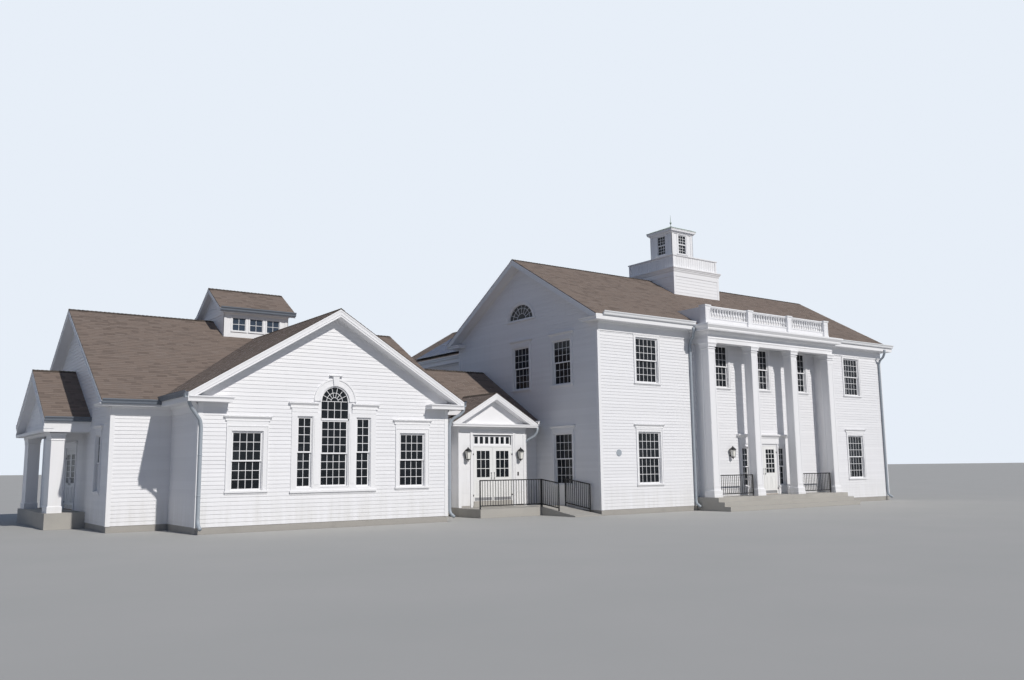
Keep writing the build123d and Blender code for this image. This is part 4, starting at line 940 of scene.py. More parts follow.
def fanWindow(trim, panes, side, middle):
    # low arched light with radiating bars
    base, radius, casing, rise, foot = 8.16, 0.88, 0.13, 0.80, 0.05
    reach = radius + casing
    outer, edge, inner, rim = [
        bow(middle, base, size, rise, 28) for size in (reach, reach - 0.03, radius, radius - 0.05)
    ]
    trim.bands(side, (outer, inner, 0.0, 0.035), (outer, edge, 0.035, 0.05), (inner, rim, -wallDepth, 0.0))
    trim.block(side, middle - reach - 0.02, middle + reach + 0.02, base - foot, base, 0.0, 0.07)
    trim.block(side, middle - radius, middle + radius, base, base + foot, -wallDepth, 0.0)
    hoops = (radius * 0.34, radius * 0.68)
    fanRibs(trim, side, middle, base + foot, hoops, radius - 0.05, 8, 0.009, rise)
    panes.flat(side, [(*p, -0.045) for p in bow(middle, base + foot, radius - 0.06, rise, 28)])
    cut = bow(middle, base, reach - 0.01, rise, 28)
    return [cut + [(middle - reach + 0.01, base - 0.04), (middle + reach - 0.01, base - 0.04)]]


# Clapboard walls with their windows

walls = []
portico = {"x": 9.6, "projection": 0.864, "bay": 2.72, "pier": 0.40, "proud": 0.30}
porticoHalf = 1.5 * portico["bay"] + portico["pier"] / 2
porticoLeft, porticoRight = 5.02, 14.18  # where the eaves run into its cornice
doorHalf, doorTop = 0.99, 2.76  # the opening behind a door's surround
cornerBay = 2.607  # from a corner of the main block to its first window
sideBays = (2.203, 4.95)
crossWindows = {"middle": -10.4, "spread": 2.875}


def wall(side, outline, windows=(), holes=()):
    walls.append((side, outline, windows, holes))


def twoRows(places, upper, lower="lowerSide"):
    return [(kind, place) for place in places for kind in (upper, lower)]


def planWalls():
    bottom, frieze = main["bottom"], main["frieze"]
    length, depth = main["length"], main["depth"]
    middle = portico["x"]
    doorway = rectangle(middle - doorHalf, middle + doorHalf, bottom, doorTop)
    bays = [("upper", middle + k * portico["bay"]) for k in (-1, 0, 1)]
    lights = [("entryLight", middle + way * 1.23) for way in (-1, 1)]
    ends = (cornerBay, length - cornerBay)
    windows = twoRows(ends, "upper", "lower") + bays + lights
    wall(frontWall(0), rectangle(0.0, length, bottom, frieze), windows, [doorway])
    linkInside = [
        (4.2, 0.4), (9.7, 0.4), (9.7, linkRoof.under(9.7)), (linkRoof.line, linkRoof.ridge - 0.2),
        (4.2, linkRoof.under(4.2)),
    ]
    first, second = sideBays
    wall(
        leftWall(0), mainRoof.gable(bottom),
        [("upperSide", first), ("upperSide", second), ("lowerSide", first), ("fan", second)], [linkInside],
    )
    wall(
        rightWall(length), mainRoof.gable(bottom),
        twoRows((first, second, depth - first), "upperSide") + [("fan", second)],
    )
    right = ell["right"]
    wall(
        rearWall(depth), rectangle(right, length, bottom, frieze),
        twoRows((right + cornerBay, length - cornerBay), "upper", "lower"),
    )
    wall(rearWall(depth), rectangle(0, ell["left"], bottom, frieze))
    outline = rectangle(depth, ell["rear"], bottom, ell["soffit"] - 0.30)
    pairs = twoRows([depth + share * (ell["rear"] - depth) for share in (0.3, 0.7)], "ellUpper")
    wall(leftWall(ell["left"]), outline, pairs)
    wall(rightWall(right), outline, pairs)
    across = [ell["left"] + share * (right - ell["left"]) for share in (0.3, 0.7)]
    wall(rearWall(ell["rear"]), ellRoof.gable(bottom), twoRows(across, "ellUpper"))

    top, front = wing["frieze"], frontWall(wing["front"])
    wall(front, rectangle(wing["left"], cross["left"], bottom, top))
    wall(front, rectangle(cross["right"], vestibule["left"], bottom, top))
    wall(front, rectangle(vestibule["right"], 0, bottom, top))
    middle, spread = crossWindows["middle"], crossWindows["spread"]
    wall(
        frontWall(cross["front"]), crossRoof.gable(bottom),
        [("wing", middle - spread), ("wing", middle + spread), ("palladian", middle)],
    )
    for side in (leftWall(cross["left"]), rightWall(cross["right"])):
        wall(side, rectangle(cross["front"], wing["front"], bottom, top))
    inset = 1.51
    wall(
        leftWall(wing["left"]), wingRoof.gable(bottom),
        [("narrow", wing["front"] + inset), ("narrow", wing["rear"] - inset)],
        [rectangle(wingMiddle - doorHalf, wingMiddle + doorHalf, bottom, doorTop)],
    )
    linkHole = [
        (4.0, 0.4), (9.9, 0.4), (9.9, linkRoof.top(9.9)), (linkRoof.line, linkRoof.ridge),
        (4.0, linkRoof.top(4.0)),
    ]
    wall(rightWall(wing["right"]), wingRoof.gable(bottom), [], [linkHole])
    step = (wing["right"] - wing["left"]) / 4
    wall(
        rearWall(wing["rear"]), rectangle(wing["left"], wing["right"], bottom, top),
        [("wing", wing["left"] + (bay + 0.5) * step) for bay in range(4)],
    )
    wall(rearWall(link["rear"]), rectangle(wing["right"], 0, bottom, linkRoof.under(link["rear"])))


boardExposure = 0.122


def clapboardWalls():
    trim = Form("windowTrim")
    panes = Form("windowPanes")
    siding = Form("clapboards")
    special = {"fan": fanWindow, "palladian": palladianWindow}
    for side, outline, windows, holes in walls:
        cuts = [list(hole) for hole in holes]
        for kind, middle in windows:
            if kind in special:
                cuts += special[kind](trim, panes, side, middle)
            else:
                cuts += hungWindow(trim, panes, side, middle, kind)
        layBoards(siding, side, [outline, *cuts], main["bottom"], boardExposure, 0.017, 0.003)
    siding.done("clapboards")
    trim.done("white_trim", replaces=["window_frames"])
    panes.done("window_glass", replaces=["window_glass"])


palladian = {
    "sideOffset": 1.025, "sideHalf": 0.265, "sideBottom": 1.27, "sideTop": 3.53, "radius": 0.5,
    "spring": 4.031, "bottom": 1.30, "frameHalf": 1.475, "head": 3.79, "arch": 0.74, "sashTop": 3.42,
    "frieze": 3.66, "keystone": 0.115,
    "crown": [
        (0.045, 0.0), (0.062, 0.0), (0.062, 0.014), (0.052, 0.02), (0.052, 0.08), (0.07, 0.10), (0.11, 0.14),
        (0.118, 0.145), (0.118, 0.168), (0.0, 0.19),
    ],
}


def palladianWindow(trim, panes, side, middle):
    p = palladian
    radius, spring, width, arch = p["radius"], p["spring"], p["frameHalf"], p["arch"]
    low, high, head, frieze = p["sideBottom"], p["sideTop"], p["head"], p["frieze"]
    near, far = p["sideOffset"] - p["sideHalf"], p["sideOffset"] + p["sideHalf"]
    board = 0.035
    for way in (-1, 1):
        # side light, the pilasters beside it, the entablature over them
        u = middle + way * p["sideOffset"]
        u0, u1 = u - p["sideHalf"], u + p["sideHalf"]
        inner = (u0 + reveal, u1 - reveal, low + reveal, high - reveal)
        trim.ring(side, rectangle(*inner), rectangle(u0, u1, low, high), -wallDepth, 0.0)
        sashPair(trim, panes, side, *inner, (low + high) / 2, 2, 4)
        trim.beside(side, middle, way, far, width, low, high, 0.0, board)
        trim.beside(side, middle, way, radius, near, low, high, 0.0, board)
        trim.beside(side, middle, way, radius + 0.05, near - 0.05, low + 0.10, 3.50, board, board + 0.012)
        trim.beside(side, middle, way, radius, width, high, frieze, 0.0, board)
        a, b = sorted((middle + way * (radius + 0.10), middle + way * width))
        trim.block(side, a, b, frieze, head, 0.0, 0.045)
        trim.moulding(side, a, b, head, p["crown"], ends=(way < 0, way > 0))
    # arched middle light: two sashes, transom, two more rows of panes and a fan
    u0, u1 = middle - radius, middle + radius
    jamb, bottom, top = 0.03, p["bottom"], p["sashTop"]
    for a, b in ((u0, u0 + jamb), (u1 - jamb, u1)):
        trim.block(side, a, b, bottom, spring, -wallDepth, 0.0)
    sashPair(trim, panes, side, u0 + jamb, u1 - jamb, bottom + 0.01, top, (bottom + top) / 2, 4, 4)
    transom = top + 0.06
    trim.block(side, u0, u1, top, transom, -0.09, 0.0)
    trim.block(side, u0, u1, bottom - 0.02, bottom + 0.02, -wallDepth, 0.02)
    for k in range(1, 4):
        u = u0 + 0.04 + (2 * radius - 0.08) * k / 4
        trim.block(side, u - halfBar, u + halfBar, transom, spring, -0.055, -0.035)
    for v in (transom + (spring - transom) / 2, spring):
        trim.block(side, u0 + jamb, u1 - jamb, v - halfBar, v + halfBar, -0.056, -0.034)
    glassReach = radius - 0.045
    inner, rim, face, band, outer = [
        bow(middle, spring, reach) for reach in (glassReach, radius, radius + 0.05, arch - 0.045, arch)
    ]
    trim.bands(
        side, (rim, inner, -wallDepth, 0.0), (outer, rim, 0.0, board), (outer, band, board, board + 0.02),
        (face, rim, board, board + 0.01),
    )
    fanRibs(trim, side, middle, spring, (0.13, 0.28), glassReach, 7, 0.0075)
    panes.flat(side, [(*c, -0.045) for c in [(u0 + jamb, transom), (u1 - jamb, transom)] + inner])
    # keystone, sill
    half = p["keystone"]
    top = spring + arch + 0.08
    foot = spring + radius
    stone = [(middle - 0.075, foot), (middle + 0.075, foot), (middle + half, top), (middle - half, top)]
    trim.prism(side, stone, 0.0, 0.09)
    trim.moulding(side, middle - half, middle + half, top, [(0.09, 0), (0.11, 0), (0.11, 0.03), (0.0, 0.05)])
    trim.block(side, middle - width - 0.03, middle + width + 0.03, 1.13, 1.19, 0.0, 0.075)
    trim.block(side, middle - width, middle + width, 1.077, 1.13, 0.0, 0.03)
    trim.block(side, middle - width, middle + width, 1.19, low, 0.0, 0.034)
    # the cut in the boards ends just inside the trim
    inside, shoulder = 0.01, head + 0.1
    left, right = middle - width + inside, middle + width - inside
    curve = bow(middle, spring, arch - inside)
    return [[
        (left, 1.08), (right, 1.08), (right, shoulder), (middle + arch - inside, shoulder), *curve,
        (middle - arch + inside, shoulder), (left, shoulder),
    ]]


# Finishes of the solids that show as they are, by part of the name; the rest are white trim

nodeFinishes = {
    "cap_metal": ["cupola_roof"],
    "shingles": ["_roof"],
    "clapboards": [
        "main_wall", "main_gable", "ell_wall", "wing_wall", "wing_gable", "wing_cross", "link_walls",
    ],
    "door_paint": ["_door_"],
    "black_iron": ["hinges", "railing", "lanterns"],
    "floor_boards": ["ground_floor", "upper_floor"],
    "concrete": ["_floor", "_ramp"],
    "foundation_stone": ["foundation"],
    "solar_cells": ["solar"],
    "window_glass": ["glass"],
}


def finishOf(name):
    for finish, parts in nodeFinishes.items():
        if any(part in name for part in parts):
            return finishes[finish]
    return finishes["white_trim"]


def finishNodes():
    for name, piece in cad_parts.items():
        if not piece.material_slots:
            piece.data.materials.append(finishOf(name))
        for slot in piece.material_slots:
            slot.material = finishOf(name)


# Roof edges: rake and eave trim, gutters, downspouts, corner boards

gutterProfile = [
    (0.012, -0.125), (0.075, -0.125), (0.088, -0.10), (0.088, -0.075), (0.105, -0.045), (0.122, -0.035),
    (0.122, -0.008), (0.112, -0.008), (0.112, -0.03), (0.012, -0.06),
]
bedProfile = [(0.0, -0.085), (0.018, -0.085), (0.018, -0.065), (0.035, -0.05), (0.055, -0.02), (0.06, 0.0)]
returnProfile = [
    (0.0, 0.0), (0.010, 0.0), (0.014, 0.016), (0.034, 0.036), (0.046, 0.044), (0.046, 0.066), (0.0, 0.082),
]
pedimentProfile = [
    (0.0, 0.0), (0.0, 0.002), (0.010, 0.004), (0.010, 0.045), (0.018, 0.05), (0.030, 0.075), (0.036, 0.08),
    (0.036, 0.098), (0.0, 0.115),
]


rakeDepth = 0.09  # of the boxed rakes, under the roof


def above(outline, level):
    # the part of an outline over a level line
    kept = []
    for (u0, v0), (u1, v1) in zip(outline, outline[1:] + outline[:1]):
        if v0 >= level:
            kept.append((u0, v0))
        if (v0 < level) != (v1 < level):
            kept.append((u0 + (u1 - u0) * (level - v0) / (v1 - v0), level))
    return kept


def rakeBand(form, side, roof, way, upper, lower, w0, w1, edge=None, foot=0.0):
    # a band along one slope, between two depths under the roof's top, cut level at its foot
    edge = roof.edge(way) if edge is None else edge
    points = [
        (edge, roof.top(edge) - lower), (roof.line, roof.ridge - lower), (roof.line, roof.ridge - upper),
        (edge, roof.top(edge) - upper),
    ]
    form.prism(side, counterClockwise(above(points, foot)), w0, w1)


def rakeTrim(form, tabs, roof, endSide, wallSide, depth=rakeDepth, frieze=True, foot=0.0):
    # crown on the roof's edge, bead on the board under it, bed moulding on the wall, edge of the shingles
    for way in (-1, 1):
        rakeBand(tabs, endSide, roof, way, -0.006, 0.020, -rakeInset, 0.0, foot=foot)
        for upper, lower, w in ((0.020, 0.062, 0.020), (0.062, 0.090, 0.013), (0.090, 0.172, 0.006)):
            rakeBand(form, endSide, roof, way, upper, lower, -rakeInset, w - rakeInset, foot=foot)
        low = roofDepth + depth
        rakeBand(form, endSide, roof, way, 0.172, 0.190, -0.02, -0.002, foot=foot)
        rakeBand(form, endSide, roof, way, low - 0.03, low + 0.003, -0.02, -0.004, foot=foot)
        if frieze:
            edge = roof.wallAt(way) + way * -0.02
            rakeBand(form, wallSide, roof, way, low - 0.01, low + 0.03, 0.0, 0.055, edge)
            rakeBand(form, wallSide, roof, way, low + 0.03, low + 0.06, 0.0, 0.035, edge)


def alongRoof(roof):
    return rightWall(0) if roof.axis == "x" else rearWall(0)


def eaveBox(form, roof, way, start, end, soffit):
    wall, edge = roof.wallAt(way), roof.boxEdge(way)
    outline = [(wall, soffit), (edge, soffit), (edge, roof.under(edge)), (wall, roof.under(wall))]
    form.prism(alongRoof(roof), counterClockwise(outline), start, end)


def gableFoot(form, roof, start, end, foot):
    # boxed rakes between the wall and their outer face
    for way in (-1, 1):
        edge = roof.boxEdge(way)
        outline = [
            (edge, roof.under(edge) - rakeDepth), (roof.line, roof.ridge - roofDepth - rakeDepth),
            (roof.line, roof.ridge - roofDepth), (edge, roof.under(edge)),
        ]
        form.prism(alongRoof(roof), counterClockwise(above(outline, foot)), *sorted((start, end)))


def faceAt(lengthwise, way, at):
    # an upright face across the building's length, or along it
    if lengthwise:
        return rightWall(at) if way > 0 else leftWall(at)
    return rearWall(at) if way > 0 else frontWall(at)


def levelReturn(form, roof, way, start, end, soffit, top, length=0.56):
    # the eave turned across the foot of a gable, with a crown along it and a level cap on top
    wall, edge = roof.wallAt(way), roof.boxEdge(way)
    inner = wall - way * length
    low, high = sorted((start, end))
    face = top - 0.075
    outline = [(edge, soffit), (inner, soffit), (inner, face), (edge, face)]
    form.prism(alongRoof(roof), counterClockwise(outline), low, high)
    side = faceAt(roof.axis == "x", end - start, end)
    form.moulding(side, *sorted((edge, inner)), face, returnProfile, ends=(way > 0, way < 0))
    cap = [(edge, face + 0.01), (inner, face + 0.01), (inner, top), (edge, top)]
    form.prism(alongRoof(roof), counterClockwise(cap), low, high)


mainFoot, wingFoot, crossRise = 0.14, 0.10, 0.06  # the boxed rakes start this high over the soffits
friezeThick = 0.04
returnInset = 0.026  # the main returns' crown stays inside the rakes by this


def layMainCornice():
    # soffits, boxed rakes and returns; the frieze boards under them
    form = Form("mainCornice")
    length, depth, over = main["length"], main["depth"], main["overhang"]
    outer, soffit = over - rakeInset, main["soffit"]
    foot = soffit + mainFoot
    for way, side, runs in (
        (-1, frontWall(0), ((0, porticoLeft), (porticoRight, length))),
        (1, rearWall(depth), ((0, ell["left"]), (ell["right"], length))),
    ):
        for start, end in runs:
            eaveBox(form, mainRoof, way, start, end, soffit)
            form.block(side, start, end, main["frieze"], soffit, 0.0, friezeThick)
    for start, end in ((0, -outer), (length, length + outer)):
        gableFoot(form, mainRoof, start, end, foot)
        for way in (-1, 1):
            short = -returnInset if end > 0 else returnInset
            levelReturn(form, mainRoof, way, start, end + short, soffit, foot)
    soffit, outer = ell["soffit"], ell["overhang"] - rakeInset
    foot = soffit + mainFoot
    for way, side in ((-1, leftWall(ell["left"])), (1, rightWall(ell["right"]))):
        eaveBox(form, ellRoof, way, depth + over, ell["rear"], soffit)
        form.block(side, depth + over, ell["rear"], soffit - 0.30, soffit, 0.0, friezeThick)
        levelReturn(form, ellRoof, way, ell["rear"], ell["rear"] + outer - returnInset, soffit, foot)
    gableFoot(form, ellRoof, ell["rear"], ell["rear"] + outer, foot)
    form.done("white_trim", replaces=["main_cornice"])


def layWingCornice():
    form = Form("wingCornice")
    left, right = wing["left"], wing["right"]
    soffit, outer = wing["soffit"], wing["overhang"] - rakeInset
    foot = soffit + wingFoot
    crossOuter = cross["overhang"] - rakeInset
    for start, end in ((left, cross["left"] - crossOuter), (cross["right"] + crossOuter, vestibule["left"])):
        eaveBox(form, wingRoof, -1, start, end, soffit)
    eaveBox(form, wingRoof, 1, left, right, soffit)
    for side, start, end in (
        (frontWall(wing["front"]), left, cross["left"]),
        (frontWall(wing["front"]), cross["right"], vestibule["left"]),
        (rearWall(wing["rear"]), left, right),
        (leftWall(cross["left"]), cross["front"], wing["front"]),
        (rightWall(cross["right"]), cross["front"], wing["front"]),
    ):
        form.block(side, start, end, wing["frieze"], soffit, 0.0, friezeThick)
    gableFoot(form, wingRoof, left, left - outer, foot)
    gableFoot(form, wingRoof, right, right + outer, foot)
    crossEnd, crossSoffit, crossFoot = cross["front"] - crossOuter, soffit + 0.001, foot + crossRise
    for way in (-1, 1):
        levelReturn(form, wingRoof, way, left, left - outer - 0.008, soffit, foot)
        eaveBox(form, crossRoof, way, cross["front"], wing["front"], crossSoffit)
        levelReturn(form, crossRoof, way, cross["front"], crossEnd - 0.008, crossSoffit, crossFoot, 0.87)
    levelReturn(form, wingRoof, 1, right, right + outer + 0.008, soffit, foot)
    gableFoot(form, crossRoof, cross["front"], crossEnd, crossFoot)
    form.done("white_trim", replaces=["wing_cornice"])


def layPediment():
    form = Form("vestibulePediment")
    outer = vestibule["gableOverhang"] - rakeInset
    reach = vestibule["overhang"] - rakeInset
    wallAt, low, top = vestibule["front"], pediment["low"], pediment["top"]
    left, right = vestibule["left"] - reach, vestibule["right"] + reach
    front = wallAt - outer - 0.008
    gableFoot(form, vestibuleRoof, wallAt, wallAt - outer, top)
    form.box(left, right, front, wallAt, low, top - 0.03)
    form.moulding(frontWall(front), left, right, low, pedimentProfile)
    form.box(left, right, wallAt - outer, wallAt, top - 0.035, top)
    form.done("white_trim", replaces=["vestibule_pediment"])


def layRakes(trim):
    edges = Form("shingleEdges")
    mainEnd, wingEnd = main["soffit"] + mainFoot, wing["soffit"] + wingFoot
    over = monitor["overhang"]
    for roof, make, way, at, overhang, options in (
        (mainRoof, leftWall, -1, 0, main["overhang"], {"foot": mainEnd}),
        (mainRoof, rightWall, 1, main["length"], main["overhang"], {"foot": mainEnd}),
        (ellRoof, rearWall, 1, ell["rear"], ell["overhang"], {"foot": ell["soffit"] + mainFoot}),
        (wingRoof, leftWall, -1, wing["left"], wing["overhang"], {"foot": wingEnd}),
        (wingRoof, rightWall, 1, wing["right"], wing["overhang"], {"foot": wingEnd}),
        (crossRoof, frontWall, -1, cross["front"], cross["overhang"], {"foot": wingEnd + crossRise}),
        (vestibuleRoof, frontWall, -1, vestibule["front"], vestibule["gableOverhang"],
         {"foot": pediment["top"], "frieze": False}),
        (porchRoof, leftWall, -1, porchFront, porch["overhang"], {"depth": 0.20, "frieze": False}),
        (monitorRoof, leftWall, -1, monitorRoof.start, over, {"depth": 0.0, "frieze": False}),
        (monitorRoof, rightWall, 1, monitorRoof.end, over, {"depth": 0.0, "frieze": False}),
    ):
        rakeTrim(trim, edges, roof, make(at + way * overhang), make(at), **options)
    # the shingle edges at the rakes take the same painted shade
    edges.done("shadeDarkShingles")


# depth of the fascia at the main eaves, the wing's, the cross gable's and the small roofs'
highFascia, wingFascia, crossFascia, lowFascia = 0.21, 0.18, 0.28, 0.172
gutterHang = {"white": (1.3, 0.135), "dark": (1.35, 0.045)}  # scale of the profile, height over the eave


def layGutters(trim, gutters):
    # the fascia along each eave and its gutter
    dark = Form("darkGutters")
    over, length = main["overhang"], main["length"]
    ellStart, ellEnd = main["depth"] + over, ell["rear"] + ell["overhang"]
    wingStart, wingEnd = wing["left"] - wing["overhang"], wing["right"] + wing["overhang"]
    wingEdge = wingRoof.edge(-1)
    crossStart, crossEnd = cross["front"] - cross["overhang"], wingEdge + 0.02
    monitorStart, monitorEnd = monitorRoof.start - monitor["overhang"], monitorRoof.end + monitor["overhang"]
    porchStart, porchEnd = porchFront - porch["overhang"], wing["left"]
    gableFront = vestibule["front"] - vestibule["gableOverhang"]
    eaves = [
        (mainRoof, -1, -over, porticoLeft, highFascia, "white"),
        (mainRoof, -1, porticoRight, length + over, highFascia, "white"),
        (mainRoof, 1, -over, ellRoof.edge(-1), highFascia, "white"),
        (mainRoof, 1, ellRoof.edge(1), length + over, highFascia, "white"),
        (ellRoof, -1, ellStart, ellEnd, highFascia, "white"),
        (ellRoof, 1, ellStart, ellEnd, highFascia, "white"),
        (wingRoof, -1, wingStart, crossRoof.edge(-1), wingFascia, "dark"),
        (wingRoof, -1, crossRoof.edge(1), vestibuleRoof.edge(-1), wingFascia, "dark"),
        (wingRoof, 1, wingStart, wingEnd, wingFascia, "dark"),
        (crossRoof, -1, crossStart, crossEnd, crossFascia, "dark"),
        (crossRoof, 1, crossStart, crossEnd, crossFascia, "dark"),
        (linkRoof, -1, vestibuleRoof.edge(1), -0.02, lowFascia, None),
        (linkRoof, 1, wingEnd, -0.02, lowFascia, "white"),
        (porchRoof, -1, porchStart, porchEnd, lowFascia, "dark"),
        (porchRoof, 1, porchStart, porchEnd, lowFascia, "dark"),
        (monitorRoof, -1, monitorStart, monitorEnd, lowFascia, "dark"),
        (monitorRoof, 1, monitorStart, monitorEnd, lowFascia, "dark"),
        (vestibuleRoof, -1, gableFront, wingEdge, lowFascia, "white"),
        (vestibuleRoof, 1, gableFront, wingEdge, lowFascia, "white"),
    ]
    for roof, way, u0, u1, drop, gutter in eaves:
        side, top = faceAt(roof.axis == "y", way, roof.edge(way)), roof.top(roof.edge(way))
        trim.block(side, u0 + 0.012, u1 - 0.012, top - drop, top - 0.022, -0.02, 0.010)
        if gutter is None:
            trim.block(side, u0, u1, top - 0.065, top - 0.025, 0.010, 0.026)
            continue
        # the white ones stand on the cornice, above the edge of the shingles
        scale, lift = gutterHang[gutter]
        start = u0 + 0.005 + (0.35 if gutter == "white" and u0 == -over else 0.0)
        profile = [(w, dv * scale) for w, dv in gutterProfile]
        form = gutters if gutter == "white" else dark
        form.moulding(side, start, u1 - 0.005, top + lift, profile, ends=(False, False))
    dark.done("gutterDark")


def layBeds(trim):
    # bed mouldings under the soffits, on the frieze boards
    high, low, thick = main["soffit"], wing["soffit"], friezeThick
    wingFace, crossRun = frontWall(wing["front"] - thick), (cross["front"], wing["front"])
    ellRun = (main["depth"], ell["rear"])
    for side, u0, u1, v in (
        (frontWall(-thick), 0.0, porticoLeft, high), (frontWall(-thick), porticoRight, main["length"], high),
        (rearWall(main["depth"] + thick), ell["right"], main["length"], high),
        (leftWall(ell["left"] - thick), *ellRun, ell["soffit"]),
        (rightWall(ell["right"] + thick), *ellRun, ell["soffit"]),
        (wingFace, wing["left"], cross["left"], low), (wingFace, cross["right"], vestibule["left"], low),
        (leftWall(cross["left"] - thick), *crossRun, low),
        (rightWall(cross["right"] + thick), *crossRun, low),
        (rearWall(wing["rear"] + thick), wing["left"], wing["right"], low),
    ):
        trim.moulding(side, u0, u1, v, bedProfile, ends=(False, False))


# each from its elbow at the gutter, down the wall, to its foot
wingSpouts = [
    [(-15.14, 0.95, 4.02), (-15.12, 0.96, 3.86), (-15.02, 1.0, 3.68), (-14.87, 1.06, 3.50),
     (-14.74, 1.09, 3.34), (-14.70, 1.10, 3.15), (-14.70, 1.10, 0.42), (-14.70, 1.05, 0.28),
     (-14.70, 0.86, 0.16)],
    [(-5.64, 0.81, 3.99), (-5.645, 0.815, 3.84), (-5.74, 0.89, 3.70), (-5.91, 1.02, 3.59),
     (-6.02, 1.11, 3.45), (-6.04, 1.13, 3.27), (-6.04, 1.13, 0.42), (-6.03, 1.09, 0.28),
     (-5.96, 0.95, 0.16)],
    [(-0.52, 3.22, 3.46), (-0.53, 3.23, 3.26), (-0.62, 3.32, 3.08), (-0.80, 3.46, 2.96),
     (-0.92, 3.56, 2.84), (-0.94, 3.58, 2.64), (-0.94, 3.58, 0.60)],
]
# y and height of the straight runs, then the x of each
mainDrop = [
    (-0.50, 7.52), (-0.48, 7.34), (-0.36, 7.16), (-0.16, 7.02), (-0.07, 6.84), (-0.07, 0.42), (-0.10, 0.28),
    (-0.30, 0.16),
]
rearDrop = [(main["depth"] - y, z) for y, z in mainDrop]
wingDrop = [
    (16.62, 3.92), (16.6, 3.76), (16.48, 3.6), (16.32, 3.46), (16.25, 3.3), (16.25, 0.42), (16.28, 0.28),
    (16.46, 0.16),
]
straightSpouts = [
    (mainDrop, (4.90, 4.92, 5.0, 5.08, 5.10)), (mainDrop, (18.9, 18.9, 18.95, 18.98, 19.0)),
    (rearDrop, (18.9, 18.9, 18.95, 18.98, 19.0)), (wingDrop, (-4.2, -4.2, -4.16, -4.12, -4.1)),
    (wingDrop, (-16.4, -16.4, -16.44, -16.46, -16.48)),
]


def layDownspouts():
    spouts = Form("downspouts")
    radius = 0.055
    strap = [(radius, 0), (radius + 0.006, 0.004), (radius + 0.006, 0.03), (radius, 0.034)]
    for x0, x1 in ((-15.30, -15.10), (-5.76, -5.58)):
        spouts.box(x0, x1, 0.74, 0.88, 3.97, 4.11)
    runs = list(wingSpouts)
    for drop, across in straightSpouts:
        across += (across[-1],) * 3
        runs.append([(x, y, z) for x, (y, z) in zip(across, drop)])
    for run in runs:
        spouts.tube(softened(run), radius, 12)
        x, y = next(p[:2] for p in run if p[2] in (0.42, 0.60))
        for z in (2.3, 1.1):
            spouts.lathe((x, y, z), strap, 12)
    spouts.done("spoutGrey")


def layCornerBoards():
    boards = Form("cornerBoards")
    length, depth = main["length"], main["depth"]
    mainTop, ellTop, wingTop = main["frieze"] + 0.01, ell["soffit"], wing["soffit"]
    thick, wide, foot = 0.024, 0.115, 0.19
    for x, y, wayX, wayY, top in (
        (0, 0, -1, -1, mainTop), (length, 0, 1, -1, mainTop), (length, depth, 1, 1, mainTop),
        (0, depth, -1, 1, mainTop), (ell["left"], ell["rear"], -1, 1, ellTop),
        (ell["right"], ell["rear"], 1, 1, ellTop), (wing["left"], wing["front"], -1, -1, wingTop),
        (wing["left"], wing["rear"], -1, 1, wingTop), (wing["right"], wing["rear"], 1, 1, wingTop),
        (cross["left"], cross["front"], -1, -1, wingTop), (cross["right"], cross["front"], 1, -1, wingTop),
    ):
        out, back = sorted((x, x + wayX * thick)), sorted((y, y - wayY * wide))
        boards.box(*out, *back, foot, top)
        out, back = sorted((y, y + wayY * thick)), sorted((x + wayX * thick, x - wayX * wide))
        boards.box(*back, *out, foot, top)
    boards.done("white_trim")


def roofTrim():
    trim, gutters = Form("roofTrim"), Form("gutters")
    layRakes(trim)
    layGutters(trim, gutters)
    layBeds(trim)
    trim.done("white_trim")
    gutters.done("gutterPaint")
    layDownspouts()
    layCornerBoards()


def softened(path):
    # corners of a pipe's path rounded off
    path = [Vector(p) for p in path]
    points = [path[0]]
    for before, corner, after in zip(path, path[1:], path[2:]):
        reach = min(0.06, (corner - before).length / 2, (after - corner).length / 2)
        first = corner + (before - corner).normalized() * reach
        last = corner + (after - corner).normalized() * reach
        for t in (0.0, 0.25, 0.5, 0.75, 1.0):
            points.append(first * (1 - t) ** 2 + corner * 2 * t * (1 - t) + last * t * t)
    points.append(path[-1])
    return points


# Portico: pier mouldings, entablature, turned balusters


# height, distance out of the shaft, profile
pierCollars = [
    (6.62, 0.0, [(0.0, 0.0), (0.022, 0.008), (0.030, 0.022), (0.022, 0.036), (0.0, 0.044)]),
    (6.82, 0.045, [(0.0, 0.0), (0.012, 0.004), (0.020, 0.03), (0.030, 0.04), (0.030, 0.076), (0.0, 0.079)]),
    (0.79, 0.0, [(0.045, 0.0), (0.045, 0.008), (0.030, 0.020), (0.014, 0.034), (0.012, 0.05), (0.0, 0.055)]),
    (0.531, 0.045, [(0.0, 0.0), (0.014, 0.002), (0.014, 0.10), (0.0, 0.114)]),
]
entablatureCollars = [
    (7.06, 0.0, [(0.0, 0.0), (0.020, 0.004), (0.020, 0.032), (0.0, 0.036)]),
    (7.20, 0.0, [
        (0.0, 0.0), (0.02, 0.0), (0.02, 0.03), (0.05, 0.06), (0.10, 0.10), (0.12, 0.14), (0.12, 0.172),
    ]),
    (7.40, portico["proud"], [
        (0.0, 0.0), (0.012, 0.0), (0.012, 0.07), (0.03, 0.085), (0.05, 0.12), (0.085, 0.17), (0.085, 0.235),
        (0.0, 0.26),
    ]),
]


